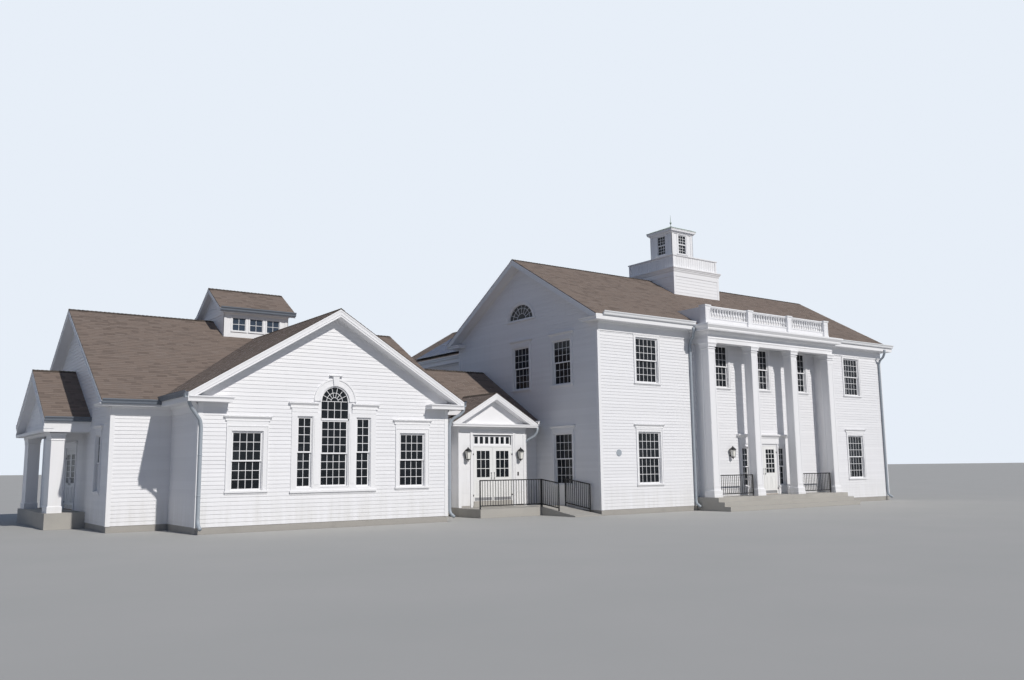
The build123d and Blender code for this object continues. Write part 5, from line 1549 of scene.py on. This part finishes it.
def dressPortico():
    p = portico
    trim = Form("porticoTrim")
    for index in range(4):
        x = p["x"] + (index - 1.5) * p["bay"]
        x0, x1 = x - p["pier"] / 2, x + p["pier"] / 2
        y0, y1 = -p["projection"], -p["projection"] + p["pier"]
        for z, out, profile in pierCollars:
            trim.collar(x0 - out, x1 + out, y0 - out, y1 + out, z, profile)
        rim, low, high = 0.065, 0.95, 6.50
        for side in (frontWall(y0), leftWall(x0), rightWall(x1)):
            u0, u1 = (x0, x1) if side.along.x else (y0, y1)
            for strip in (
                (u0 + 0.004, u0 + rim, low, high), (u1 - rim, u1 - 0.004, low, high),
                (u0 + rim, u1 - rim, high - rim, high), (u0 + rim, u1 - rim, low, low + rim),
            ):
                trim.block(side, *strip, 0.0, 0.010)
    x0, x1, y0 = p["x"] - porticoHalf, p["x"] + porticoHalf, -p["projection"]
    for z, out, profile in entablatureCollars:
        trim.collar(x0 - out, x1 + out, y0 - out, 1.5, z, profile)
    trim.done("white_trim")


lowerRail = [(0.0, 0.0), (0.02, 0.01), (0.03, 0.03), (0.03, 0.06), (0.0, 0.062)]
upperRail = [(0.0, 0.0), (0.018, 0.012), (0.026, 0.03), (0.026, 0.06), (0.0, 0.072)]
newelProfile = [(0.0, 0.0), (0.012, 0.01), (0.024, 0.03), (0.03, 0.036), (0.03, 0.085), (-0.155, 0.10)]
# radius and height, as shares of the baluster's
balusterOutline = [
    (0.85, 0.0), (0.85, 0.10), (0.55, 0.13), (0.62, 0.17), (0.45, 0.21), (0.60, 0.26), (0.92, 0.33),
    (1.0, 0.40), (0.93, 0.47), (0.70, 0.58), (0.50, 0.70), (0.42, 0.77), (0.60, 0.80), (0.62, 0.83),
    (0.50, 0.86), (0.80, 0.89), (0.85, 0.90), (0.85, 1.0),
]


def layBalustrade():
    p = portico
    rail, turned = Form("balustradeRails"), Form("turnedBalusters")
    newel, fat, count = 0.155, 0.052, 14
    y = -p["projection"] + 0.10 + newel
    low, top = 7.65, 8.52
    railBottom, plinth = top - 0.13, low + 0.33
    left, right = p["x"] - 1.5 * p["bay"], p["x"] + 1.5 * p["bay"]
    for half, z0, z1, z, profile in (
        (0.075, low, plinth, low + 0.27, lowerRail),
        (0.065, railBottom, railBottom + 0.088, railBottom + 0.02, upperRail),
    ):
        rail.box(left, right, y - half, y + half, z0, z1)
        rail.collar(left, right, y - half, y + half, z, profile)
    for index in range(4):
        x = left + index * p["bay"]
        rail.boxAbout(x, y, newel, low, top - 0.07)
        rail.collarAbout(x, y, newel, top - 0.10, newelProfile)
        rail.collarAbout(x, y, newel, low, [(0.0, 0.0), (0.016, 0.0), (0.016, 0.16), (0.0, 0.18)])
        surround(rail, frontWall(y - newel), x - 0.10, x + 0.10, low + 0.24, top - 0.22, 0.02, 0.0, 0.008)
    clear, tall = p["bay"] - 2 * newel, railBottom - plinth
    outline = [(fat * radius, tall * height) for radius, height in balusterOutline]
    for bay in range(3):
        first = left + bay * p["bay"] + newel
        for index in range(count):
            turned.lathe((first + (index + 0.5) * clear / count, y, plinth), outline, 14)
    rail.box(left, right, y + 0.12, y + 0.135, low, railBottom + 0.05)
    rail.done("white_trim", replaces=["portico_balustrade"])
    turned.done("white_trim")


# Cupola: lapped base, cornice, picket parapet, glazed lantern, metal cap


def fourSides(x, y, half):
    # the faces of a square tier, with the place of their middle along them
    return [
        (frontWall(y - half), x), (rearWall(y + half), x), (leftWall(x - half), y), (rightWall(x + half), y),
    ]


# from the bottom up; the half width that each collar goes round is in dressCupola
cupolaProfiles = {
    "cornice": [
        (0.02, -0.06), (0.03, -0.055), (0.045, -0.02), (0.055, 0.0), (0.055, 0.035), (0.08, 0.05),
        (0.085, 0.085), (0.11, 0.115), (0.12, 0.14), (0.12, 0.165), (0.0, 0.175),
    ],
    "parapetFoot": [(0.06, 0.0), (0.06, 0.07), (0.0, 0.07), (0.0, 0.0), (0.06, 0.0)],
    "parapetRail": [
        (-0.07, 0.0), (0.0, 0.0), (0.018, 0.012), (0.03, 0.03), (0.03, 0.065), (-0.10, 0.075), (-0.07, 0.0),
    ],
    "lanternBed": [(0.018, 0.0), (0.03, 0.002), (0.04, 0.03), (0.075, 0.06), (0.08, 0.10)],
    "lanternCrown": [
        (-0.15, -0.001), (0.0, -0.001), (0.004, 0.0), (0.004, 0.06), (0.016, 0.07), (0.02, 0.10),
    ],
    "finial": [
        (0.05, 0.0), (0.035, 0.03), (0.014, 0.06), (0.014, 0.12), (0.045, 0.16), (0.05, 0.19),
        (0.045, 0.22), (0.014, 0.25), (0.012, 0.4), (0.004, 0.62),
    ],
}


def dressCupolaBase(trim, x, y):
    siding, tier = Form("cupolaBoards"), Form("cupolaTier")
    half = cupola["base"] / 2
    frieze, cornice = 10.78, cupola["baseTop"]
    sides = fourSides(x, y, half)
    for side, middle in sides:
        left, right = middle - half, middle + half
        if side.along.y:
            foot = [(place, mainRoof.top(place) - 0.02) for place in (left, middle, right)]
            outline = [(right, frieze), (left, frieze)] + foot
        else:
            outline = rectangle(left, right, mainRoof.top(y - half) - 0.05, frieze)
        layBoards(siding, side, [outline], 8.62, 0.155, 0.014, 0.004)
        trim.block(side, left - 0.02, right + 0.02, frieze, cornice, 0.0, 0.024)
        for way in (-1, 1):
            foot = mainRoof.top(y - half) if side.along.x else mainRoof.top(y + way * half)
            trim.beside(side, middle, way, half + 0.02, half - 0.10, foot - 0.05, frieze, 0.0, 0.022)
    trim.collarAbout(x, y, half, cornice, cupolaProfiles["cornice"])
    for side, middle in sides:
        reach = half if side.along.x else half - wallDepth
        tier.block(side, middle - reach, middle + reach, 7.66, cornice, -wallDepth, 0.0)
    tier.boxAbout(x, y, 1.45, cornice, 11.312)
    tier.boxAbout(x, y, half + 0.01, cornice, 11.22)
    tier.done("white_trim", replaces=["cupola_base"])
    siding.done("white_trim")


def layParapet(x, y):
    pickets = Form("parapetPickets")
    out, deck, top = 1.53, 11.215, 11.86
    pickets.collarAbout(x, y, out - 0.06, deck, cupolaProfiles["parapetFoot"])
    pickets.collarAbout(x, y, out, top - 0.075, cupolaProfiles["parapetRail"])
    count, half, shoulder = 18, 0.0735, top - 0.11
    span = 2 * out - 0.24
    for side, middle in fourSides(x, y, out):
        for way in (-1, 1):
            pickets.beside(side, middle, way, out - 0.012, out - 0.11, deck, top - 0.07, -0.062, -0.001)
        for k in range(count):
            u = middle - span / 2 + (k + 0.5) * span / count
            pickets.block(side, u - half, u + half, deck + 0.07, shoulder, -0.052, -0.016)
            pickets.prism(side, bow(u, shoulder, half, 0.5, 6), -0.052, -0.016)
    pickets.done("white_trim", replaces=["cupola_parapet"])


def dressLantern(trim, panes, x, y):
    half, w, gap = cupola["lantern"] / 2, 0.30, 0.002
    low, high = 12.20, 13.17
    for side, middle in fourSides(x, y, half):
        u0, u1 = middle - w, middle + w
        surround(trim, side, u0, u1, low, high, 0.075, 0.0, 0.02)
        trim.block(side, u0 - 0.10, u1 + 0.10, low - 0.05, low, 0.0, 0.045)
        sashPair(
            trim, panes, side, u0 + gap, u1 - gap, low + gap, high - gap, (low + high) / 2, 3, 3, 0.02,
            (0.02, 0.055),
        )
        for way in (-1, 1):
            trim.beside(side, middle, way, half + 0.018, half - 0.14, 11.3, 13.25, 0.0, 0.018)
    trim.collarAbout(x, y, half, 13.20, cupolaProfiles["lanternBed"])
    trim.collarAbout(x, y, half + capReach, 13.30, cupolaProfiles["lanternCrown"])


capReach = 0.13  # the cap's edge out from the lantern's walls


def layCap(x, y):
    metal = Form("cupolaCap")
    reach, spacing, rise = cupola["lantern"] / 2 + capReach, 0.30, 0.33
    slopes = [(0.0, 0.0), (0.026, 0.0), (0.03, 0.012), (0.026, 0.03), (-reach + 0.05, 0.36)]
    metal.collarAbout(x, y, reach, 13.40, slopes)
    for side, middle in fourSides(x, y, reach):
        # standing seams
        for k in (-2, -1, 0, 1, 2):
            u = middle + k * spacing
            share = (reach - abs(k) * spacing) / reach
            ends = [side.at(u, 13.432, 0.02), side.at(u, 13.43 + rise * share, 0.03 - reach * share)]
            metal.tube(ends, 0.012, 6)
    metal.lathe((x, y, 13.76), cupolaProfiles["finial"], 12)
    metal.done("cap_metal", replaces=["cupola_roof"])
    base = Form("cupolaCornice")
    base.boxAbout(x, y, reach, 13.30, 13.41)
    base.done("white_trim")


def dressCupola():
    x, y = cupola["x"], cupola["y"]
    trim, panes = Form("cupolaTrim"), Form("cupolaPanes")
    dressCupolaBase(trim, x, y)
    layParapet(x, y)
    dressLantern(trim, panes, x, y)
    trim.done("white_trim")
    panes.done("window_glass")
    layCap(x, y)


# Monitor: lapped gable ends, a row of small lights, frieze


def dressMonitor():
    trim, panes, siding = Form("monitorTrim"), Form("monitorPanes"), Form("monitorBoards")
    half, low, high, gap = 0.27, 7.30, 7.83, 0.003
    u0, u1 = monitorRoof.start, monitorRoof.end
    frieze, lap = 7.90, 0.02
    for side in (frontWall(monitorLow), rearWall(monitorHigh)):
        for k in (-1, 0, 1):
            left = monitorMiddle + k * 0.696 - half
            right = monitorMiddle + k * 0.696 + half
            surround(trim, side, left, right, low, high, 0.055, 0.0, 0.022)
            trim.block(side, left - 0.055, right + 0.055, low - 0.045, low, 0.0, 0.04)
            sash(trim, panes, side, left + gap, right - gap, low + gap, high - gap, -0.012, 2, 2, 0.02)
        trim.block(side, u0 - lap, u1 + lap, frieze, 7.99, 0.0, 0.024)
        bed = [(0.024, 0.0), (0.04, 0.0), (0.05, 0.03), (0.09, 0.06), (0.10, 0.09)]
        trim.moulding(side, u0 - lap, u1 + lap, 7.99, bed)
        trim.block(side, u0 - lap, u0 + 0.11, 6.9, frieze, 0.0, 0.020)
        trim.block(side, u1 - 0.11, u1 + lap, 6.9, frieze, 0.0, 0.020)
    for side in (leftWall(u0), rightWall(u1)):
        outline = [
            (monitorHigh, wingRoof.top(monitorHigh) - 0.02), (monitorHigh, monitorRoof.under(monitorHigh)),
            (wingMiddle, monitorRoof.ridge - roofDepth), (monitorLow, monitorRoof.under(monitorLow)),
            (monitorLow, wingRoof.top(monitorLow) - 0.02), (wingMiddle, wingRoof.ridge - 0.02),
        ]
        layBoards(siding, side, [outline], 6.95, boardExposure, 0.014, 0.004)
        trim.block(side, monitorLow - lap, monitorHigh + lap, 7.93, 8.02, 0.0, 0.03)
        for way, edge in ((-1, monitorLow), (1, monitorHigh)):
            rakeBand(trim, side, monitorRoof, way, roofDepth, 0.29, 0.0, 0.028, edge)
            trim.beside(side, edge, way, lap, -0.10, wingRoof.top(edge) - 0.05, 7.93, 0.0, 0.02)
    trim.done("white_trim")
    # the monitor's panes get the glass with the painted sky reflection
    panes.done("paintedSkyReflectionGlass")
    siding.done("clapboards")


# Entrances: surrounds, leaves with lites, transom, wall lanterns

vestibuleFace = frontWall(vestibule["front"])
# leftLow: whether the left leaf is at the lower end of the wall's axis
doorSets = {
    "main": {"wall": frontWall(0), "middle": portico["x"], "width": 1.76, "rows": 5, "leftLow": True},
    "vestibule": {
        "wall": vestibuleFace, "middle": vestibuleMiddle, "width": 1.83, "rows": 3, "leftLow": True,
    },
    "side": {
        "wall": leftWall(wing["left"]), "middle": wingMiddle, "width": 1.76, "rows": 5, "leftLow": False,
    },
}
doorSill, doorHead = 0.55, 2.65


def dressLeaf(name, way, spec):
    # lites in the recess, raised panels below, kick plate
    side, middle, rows = spec["wall"], spec["middle"], spec["rows"]
    gap, meeting, stile, bar, bead, between = 0.006, 0.0045, 0.13, 0.011, 0.018, 0.06
    a, b = sorted((middle + way * (spec["width"] / 2 - gap), middle + way * meeting))
    u0, u1 = a + stile, b - stile
    v0, v1 = doorSill + gap + 0.90, doorHead - gap - stile
    word = "left" if (way < 0) == spec["leftLow"] else "right"
    body, piece = f"{name}_door_{word}_leaf", f"{name}{word.title()}Leaf"
    glass = Form(piece + "Glass")
    glass.block(side, u0, u1, v0, v1, -0.0138, -0.011)
    glass.block(side, u0, u1, v0, v1, -0.034, -0.0312)
    glass.done("window_glass", body)
    trim = Form(piece + "Trim")
    # bars and panels on the outer face, then on the inner one
    for (w0, w1), panel in (((-0.0115, 0.004), (0.0, 0.007)), ((-0.049, -0.0335), (-0.052, -0.045))):
        for k in (1, 2):
            u = u0 + (u1 - u0) * k / 3
            trim.block(side, u - bar, u + bar, v0, v1, w0, w1 - 0.003)
        for k in range(1, rows):
            v = v0 + (v1 - v0) * k / rows
            trim.block(side, u0, u1, v - bar, v + bar, w0 + 0.001, w1 - 0.004)
        surround(trim, side, u0 + bead, u1 - bead, v0, v1 - bead, bead, w0, w1)
        trim.block(side, u0 + bead, u1 - bead, v0, v0 + bead, w0, w1)
        wide = (u1 - u0 - between) / 2
        low, high, rim, field = doorSill + 0.22, v0 - 0.12, 0.02, 0.055
        for k in (0, 1):
            left = u0 + k * (wide + between)
            right = left + wide
            surround(trim, side, left + rim, right - rim, low + rim, high - rim, rim, *panel)
            trim.block(side, left + rim, right - rim, low, low + rim, *panel)
            trim.block(side, left + field, right - field, low + field, high - field, *panel)
    trim.done("door_paint", body)
    kick = Form(piece + "Kick")
    kick.block(side, a + 0.05, b - 0.05, doorSill + 0.03, doorSill + 0.15, 0.0, 0.003)
    kick.done("kickMetal", body)
    pull = Form(piece + "Pull")
    level, u = doorSill + 0.98, (b - 0.07 if way < 0 else a + 0.07)
    for z in (level - 0.106, level + 0.106):
        pull.block(side, u - 0.024, u + 0.024, z - 0.028, z + 0.028, 0.0, 0.005)
    pull.done("black_iron", body)


mainCrown = [
    (0.05, 0.0), (0.07, 0.0), (0.07, 0.03), (0.10, 0.07), (0.13, 0.08), (0.16, 0.12), (0.16, 0.16),
    (0.0, 0.19),
]
sideCrown = [(0.035, 0.0), (0.06, 0.0), (0.06, 0.02), (0.10, 0.05), (0.10, 0.08), (0.0, 0.1)]


def dressMainEntrance(trim):
    # pilasters between door and side lights, panels under them, entablature over
    side, middle = frontWall(0), portico["x"]
    foot, head, half = 0.535, 2.74, 1.60
    for way in (-1, 1):
        for near, far in ((0.93, 0.955), (1.50, 1.58)):
            trim.beside(side, middle, way, near, far, foot, head, 0.0, 0.045)
        trim.beside(side, middle, way, 0.955, 1.50, foot, 0.80, 0.0, 0.034)
        trim.beside(side, middle, way, 1.015, 1.44, 0.60, 0.76, 0.034, 0.044)
    trim.block(side, middle - half, middle + half, head, 2.99, 0.0, 0.05)
    trim.moulding(side, middle - half, middle + half, 2.99, mainCrown)


def dressVestibuleEntrance(trim, panes):
    # casing, flush boarded front, transom lights
    side, middle = vestibuleFace, vestibuleMiddle
    for way in (-1, 1):
        trim.beside(side, middle, way, 0.96, 1.05, 0.33, 3.23, 0.0, 0.035)
        trim.beside(side, middle, way, 1.05, 1.075, 0.33, 3.23, 0.0, 0.05)
        trim.beside(side, middle, way, 1.48, 1.615, 0.33, 3.16, 0.0, 0.026)
    trim.block(side, middle - 0.96, middle + 0.96, 3.12, 3.16, 0.0, 0.035)
    for v in (0.86, 1.32, 1.78, 2.24, 2.70):
        for way in (-1, 1):
            trim.beside(side, middle, way, 1.08, 1.478, v + 0.004, v + 0.452, 0.0, 0.006)
    low, high, count = 2.73, 3.09, 7
    u0, width = middle - 0.875, 1.75
    for k in range(count):
        left, right = u0 + width * k / count, u0 + width * (k + 1) / count
        sash(trim, panes, side, left, right, low, high, -0.05, 1, 1)
    trim.block(side, middle - 0.915, middle + 0.915, 2.655, low, -0.10, -0.02)


def dressSideEntrance(trim):
    side, middle, half, head = leftWall(wing["left"]), wingMiddle, 1.05, 2.74
    for way in (-1, 1):
        trim.beside(side, middle, way, 0.93, half, 0.535, head, 0.0, 0.035)
    trim.block(side, middle - half, middle + half, head, 2.87, 0.0, 0.035)
    trim.moulding(side, middle - half, middle + half, 2.87, sideCrown)


def dressEntrances():
    for name, spec in doorSets.items():
        for way in (-1, 1):
            dressLeaf(name, way, spec)
    trim, panes = Form("entranceTrim"), Form("entrancePanes")
    dressMainEntrance(trim)
    dressVestibuleEntrance(trim, panes)
    dressSideEntrance(trim)
    trim.done("white_trim")
    panes.done("window_glass")

    iron, frost, plaque = Form("lanternFrames"), Form("lanternGlass"), Form("roundPlaque")
    offset = (0.915 + 1.6) / 2
    for side, u in (
        (vestibuleFace, vestibuleMiddle - offset), (vestibuleFace, vestibuleMiddle + offset),
        (frontWall(0), 7.4), (frontWall(0), 11.8),
    ):
        wallLantern(iron, frost, side, u)
    plaque.prism(frontWall(0), arc(0.95, 2.35, 0.13, 0, 2 * pi, 24)[:-1], 0.0, 0.03)
    plaque.done("spoutGrey")
    bell = vestibuleMiddle + 1.22
    iron.block(vestibuleFace, bell - 0.03, bell + 0.03, 1.52, 1.66, 0.006, 0.024)
    iron.done("black_iron", replaces=["wall_lanterns"])
    frost.done("frostedGlass")


# radius, and height over the lantern's foot or top
lanternFoot = [
    (0.012, -0.10), (0.02, -0.085), (0.012, -0.07), (0.03, -0.04), (0.075, -0.02), (0.094, -0.012),
    (0.094, 0.004),
]
lanternCap = [
    (0.148, -0.012), (0.152, 0.0), (0.13, 0.015), (0.105, 0.05), (0.06, 0.085), (0.035, 0.10),
    (0.035, 0.115), (0.012, 0.125), (0.02, 0.14), (0.002, 0.16),
]


def wallLantern(iron, frost, side, u):
    # tapered glazed body under a swept cap, on a scrolled arm
    z, out, half = 2.33, 0.155, 0.155
    x, y, _ = side.at(u, z, out)
    narrow, wide = 0.062, 0.092
    frost.lathe((x, y, z), [(narrow * 1.3, -half), (wide * 1.3, half)], 4, square=True)
    for kx in (-1, 1):
        for ky in (-1, 1):
            foot = (x + kx * narrow, y + ky * narrow, z - half)
            iron.tube([foot, (x + kx * wide, y + ky * wide, z + half)], 0.007, 6)
    iron.lathe((x, y, z - half), lanternFoot, 12)
    iron.lathe((x, y, z + half), lanternCap, 12)
    iron.block(side, u - 0.05, u + 0.05, z - 0.13, z + 0.11, 0.0, 0.014)
    arm = [(z - 0.05, 0.014), (z - 0.13, 0.05), (z - 0.20, 0.10), (z - 0.23, out)]
    iron.tube(softened([side.at(u, v, w) for v, w in arm]), 0.010, 8)


# Side porch, vestibule, solar rows

porchCollars = [
    (2.90, 0.0, [(0.0, 0.0), (0.016, 0.006), (0.022, 0.02), (0.016, 0.034), (0.0, 0.04)]),
    (3.08, 0.02, [(0.0, 0.0), (0.012, 0.0), (0.026, 0.04), (0.026, 0.068), (0.0, 0.069)]),
    (0.531, 0.0, [(0.0, 0.0), (0.025, 0.0), (0.025, 0.20), (0.012, 0.22), (0.0, 0.225)]),
]
porchBead = [(0.0, -0.09), (0.012, -0.088), (0.012, -0.05), (0.018, -0.03), (0.018, 0.0), (0.0, 0.004)]


def dressPorch():
    trim, siding = Form("porchTrim"), Form("porchBoards")
    pier = 0.86
    x0, x1 = porchFront, porchFront + 0.40
    for y0, y1 in ((porchLow, porchLow + pier), (porchHigh - pier, porchHigh)):
        for z, out, profile in porchCollars:
            trim.collar(x0 - out, x1 + out, y0 - out, y1 + out, z, profile)
    outer = porch["overhang"] - rakeInset
    cornice = roofDepth + 0.20
    base = porch["eave"] - cornice
    face = leftWall(porchFront - outer)
    trim.moulding(face, porchLow - outer, porchHigh + outer, base, porchBead, ends=(False, False))
    face = leftWall(porchFront)
    trim.moulding(face, porchLow, porchHigh, base - 0.10, bedProfile, ends=(False, False))
    level, peak = base + 0.02, porchRoof.ridge - cornice
    inset = (peak - level) / pitch
    gable = [(wingMiddle - inset, level), (wingMiddle + inset, level), (wingMiddle, peak)]
    layBoards(siding, face, [gable], level, boardExposure, 0.014, 0.004)
    trim.done("white_trim")
    siding.done("clapboards")


def dressSolar():
    frames = Form("solarFrames")
    slope = ellRoof.slope(-1)
    start = main["depth"] + main["overhang"] + 0.60
    rim, half, columns, rows = 0.03, 0.003, 6, 10
    for row in range(2):
        for column in range(5):
            u0, v0 = start + column * 1.02, 0.70 + row * 1.62
            u1, v1 = u0 + 1.0, v0 + 1.6
            inner = rectangle(u0 + rim, u1 - rim, v0 + rim, v1 - rim)
            frames.ring(slope, inner, rectangle(u0, u1, v0, v1), 0.08, 0.124)
            for k in range(1, columns):
                u = u0 + rim + (1.0 - 2 * rim) * k / columns
                frames.block(slope, u - half, u + half, v0 + rim, v1 - rim, 0.12, 0.1215)
            for k in range(1, rows):
                v = v0 + rim + (1.6 - 2 * rim) * k / rows
                frames.block(slope, u0 + rim, u1 - rim, v - half, v + half, 0.12, 0.1213)
    frames.done("cellLines")


def dressVestibule():
    trim, step = Form("vestibuleTrim"), Form("vestibuleThreshold")
    front, left, right, low = vestibule["front"], vestibule["left"], vestibule["right"], pediment["low"]
    board, lap = 0.03, 0.46
    trim.block(vestibuleFace, left, right, low - 0.21, low, 0.0, board)
    trim.moulding(frontWall(front - board), left, right, low, bedProfile, ends=(False, False))
    for side in (leftWall(left), rightWall(right)):
        for k in range(6):
            trim.block(side, 3.44, 4.0, 0.34 + k * lap, 0.795 + k * lap, 0.0, 0.006)
    trim.done("white_trim")
    step.box(vestibuleMiddle - 0.915, vestibuleMiddle + 0.915, front - 0.03, front + 0.20, 0.325, 0.546)
    step.done("concrete")


# Light, floor and surroundings

light = {
    "sun": 3.1, "sunColour": (1.0, 0.965, 0.92), "softness": 0.9, "sky": (0.44, 0.61, 1.0), "skyLevel": 0.25,
    "towardsSun": (0.096, -0.782, 0.616), "backdrop": (0.80, 0.86, 0.94),
}


def makeStage():
    mesh = bpy.data.meshes.new("floorPlane")
    reach = 1500
    corners = [(x, y, -0.002) for x, y in rectangle(-reach, reach, -reach, reach)]
    mesh.from_pydata(corners, [], [(0, 1, 2, 3)])
    floor = bpy.data.objects.new("floorPlane", mesh)
    bpy.context.scene.collection.objects.link(floor)
    paint = Paint("paleFloor", Specular_IOR_Level=0.1)
    colour = paint.blend((0.42, 0.42, 0.40), (0.47, 0.46, 0.44), paint.noise(0.3, 3.0))
    mesh.materials.append(paint.finished(colour, 0.9))

    sun = bpy.data.lights.new("sun", "SUN")
    sun.energy = light["sun"]
    sun.color = light["sunColour"]
    sun.angle = radians(light["softness"])
    lamp = bpy.data.objects.new("sun", sun)
    bpy.context.scene.collection.objects.link(lamp)
    lamp.rotation_euler = Vector(light["towardsSun"]).to_track_quat("Z", "Y").to_euler()

    world = bpy.data.worlds.new("surroundings")
    bpy.context.scene.world = world
    world.use_nodes = True
    nodes, links = world.node_tree.nodes, world.node_tree.links
    background = nodes["Background"]
    path = nodes.new("ShaderNodeLightPath")
    seen = path.outputs["Is Camera Ray"]
    for name in ("Is Glossy Ray", "Is Transmission Ray"):
        either = nodes.new("ShaderNodeMath")
        either.operation = "MAXIMUM"
        links.new(seen, either.inputs[0])
        links.new(path.outputs[name], either.inputs[1])
        seen = either.outputs[0]
    background.inputs["Color"].default_value = (*light["sky"], 1)
    background.inputs["Strength"].default_value = light["skyLevel"]
    backdrop = nodes.new("ShaderNodeBackground")
    backdrop.inputs["Color"].default_value = (*light["backdrop"], 1)
    backdrop.inputs["Strength"].default_value = 1.0
    choose = nodes.new("ShaderNodeMixShader")
    links.new(seen, choose.inputs[0])
    links.new(background.outputs[0], choose.inputs[1])
    links.new(backdrop.outputs[0], choose.inputs[2])
    links.new(choose.outputs[0], nodes["World Output"].inputs["Surface"])
    bpy.context.scene.view_settings.view_transform = "Standard"


makeCamera()
finishNodes()
planWalls()
clapboardWalls()
print("walls and windows built")
shingleRoofs()
print("roofs shingled")
layMainCornice()
layWingCornice()
layPediment()
roofTrim()
dressPortico()
layBalustrade()
dressCupola()
dressMonitor()
print("trim, portico, cupola and monitor dressed")
dressEntrances()
dressPorch()
dressVestibule()
dressSolar()
print("entrances, porch and panels dressed")
makeStage()
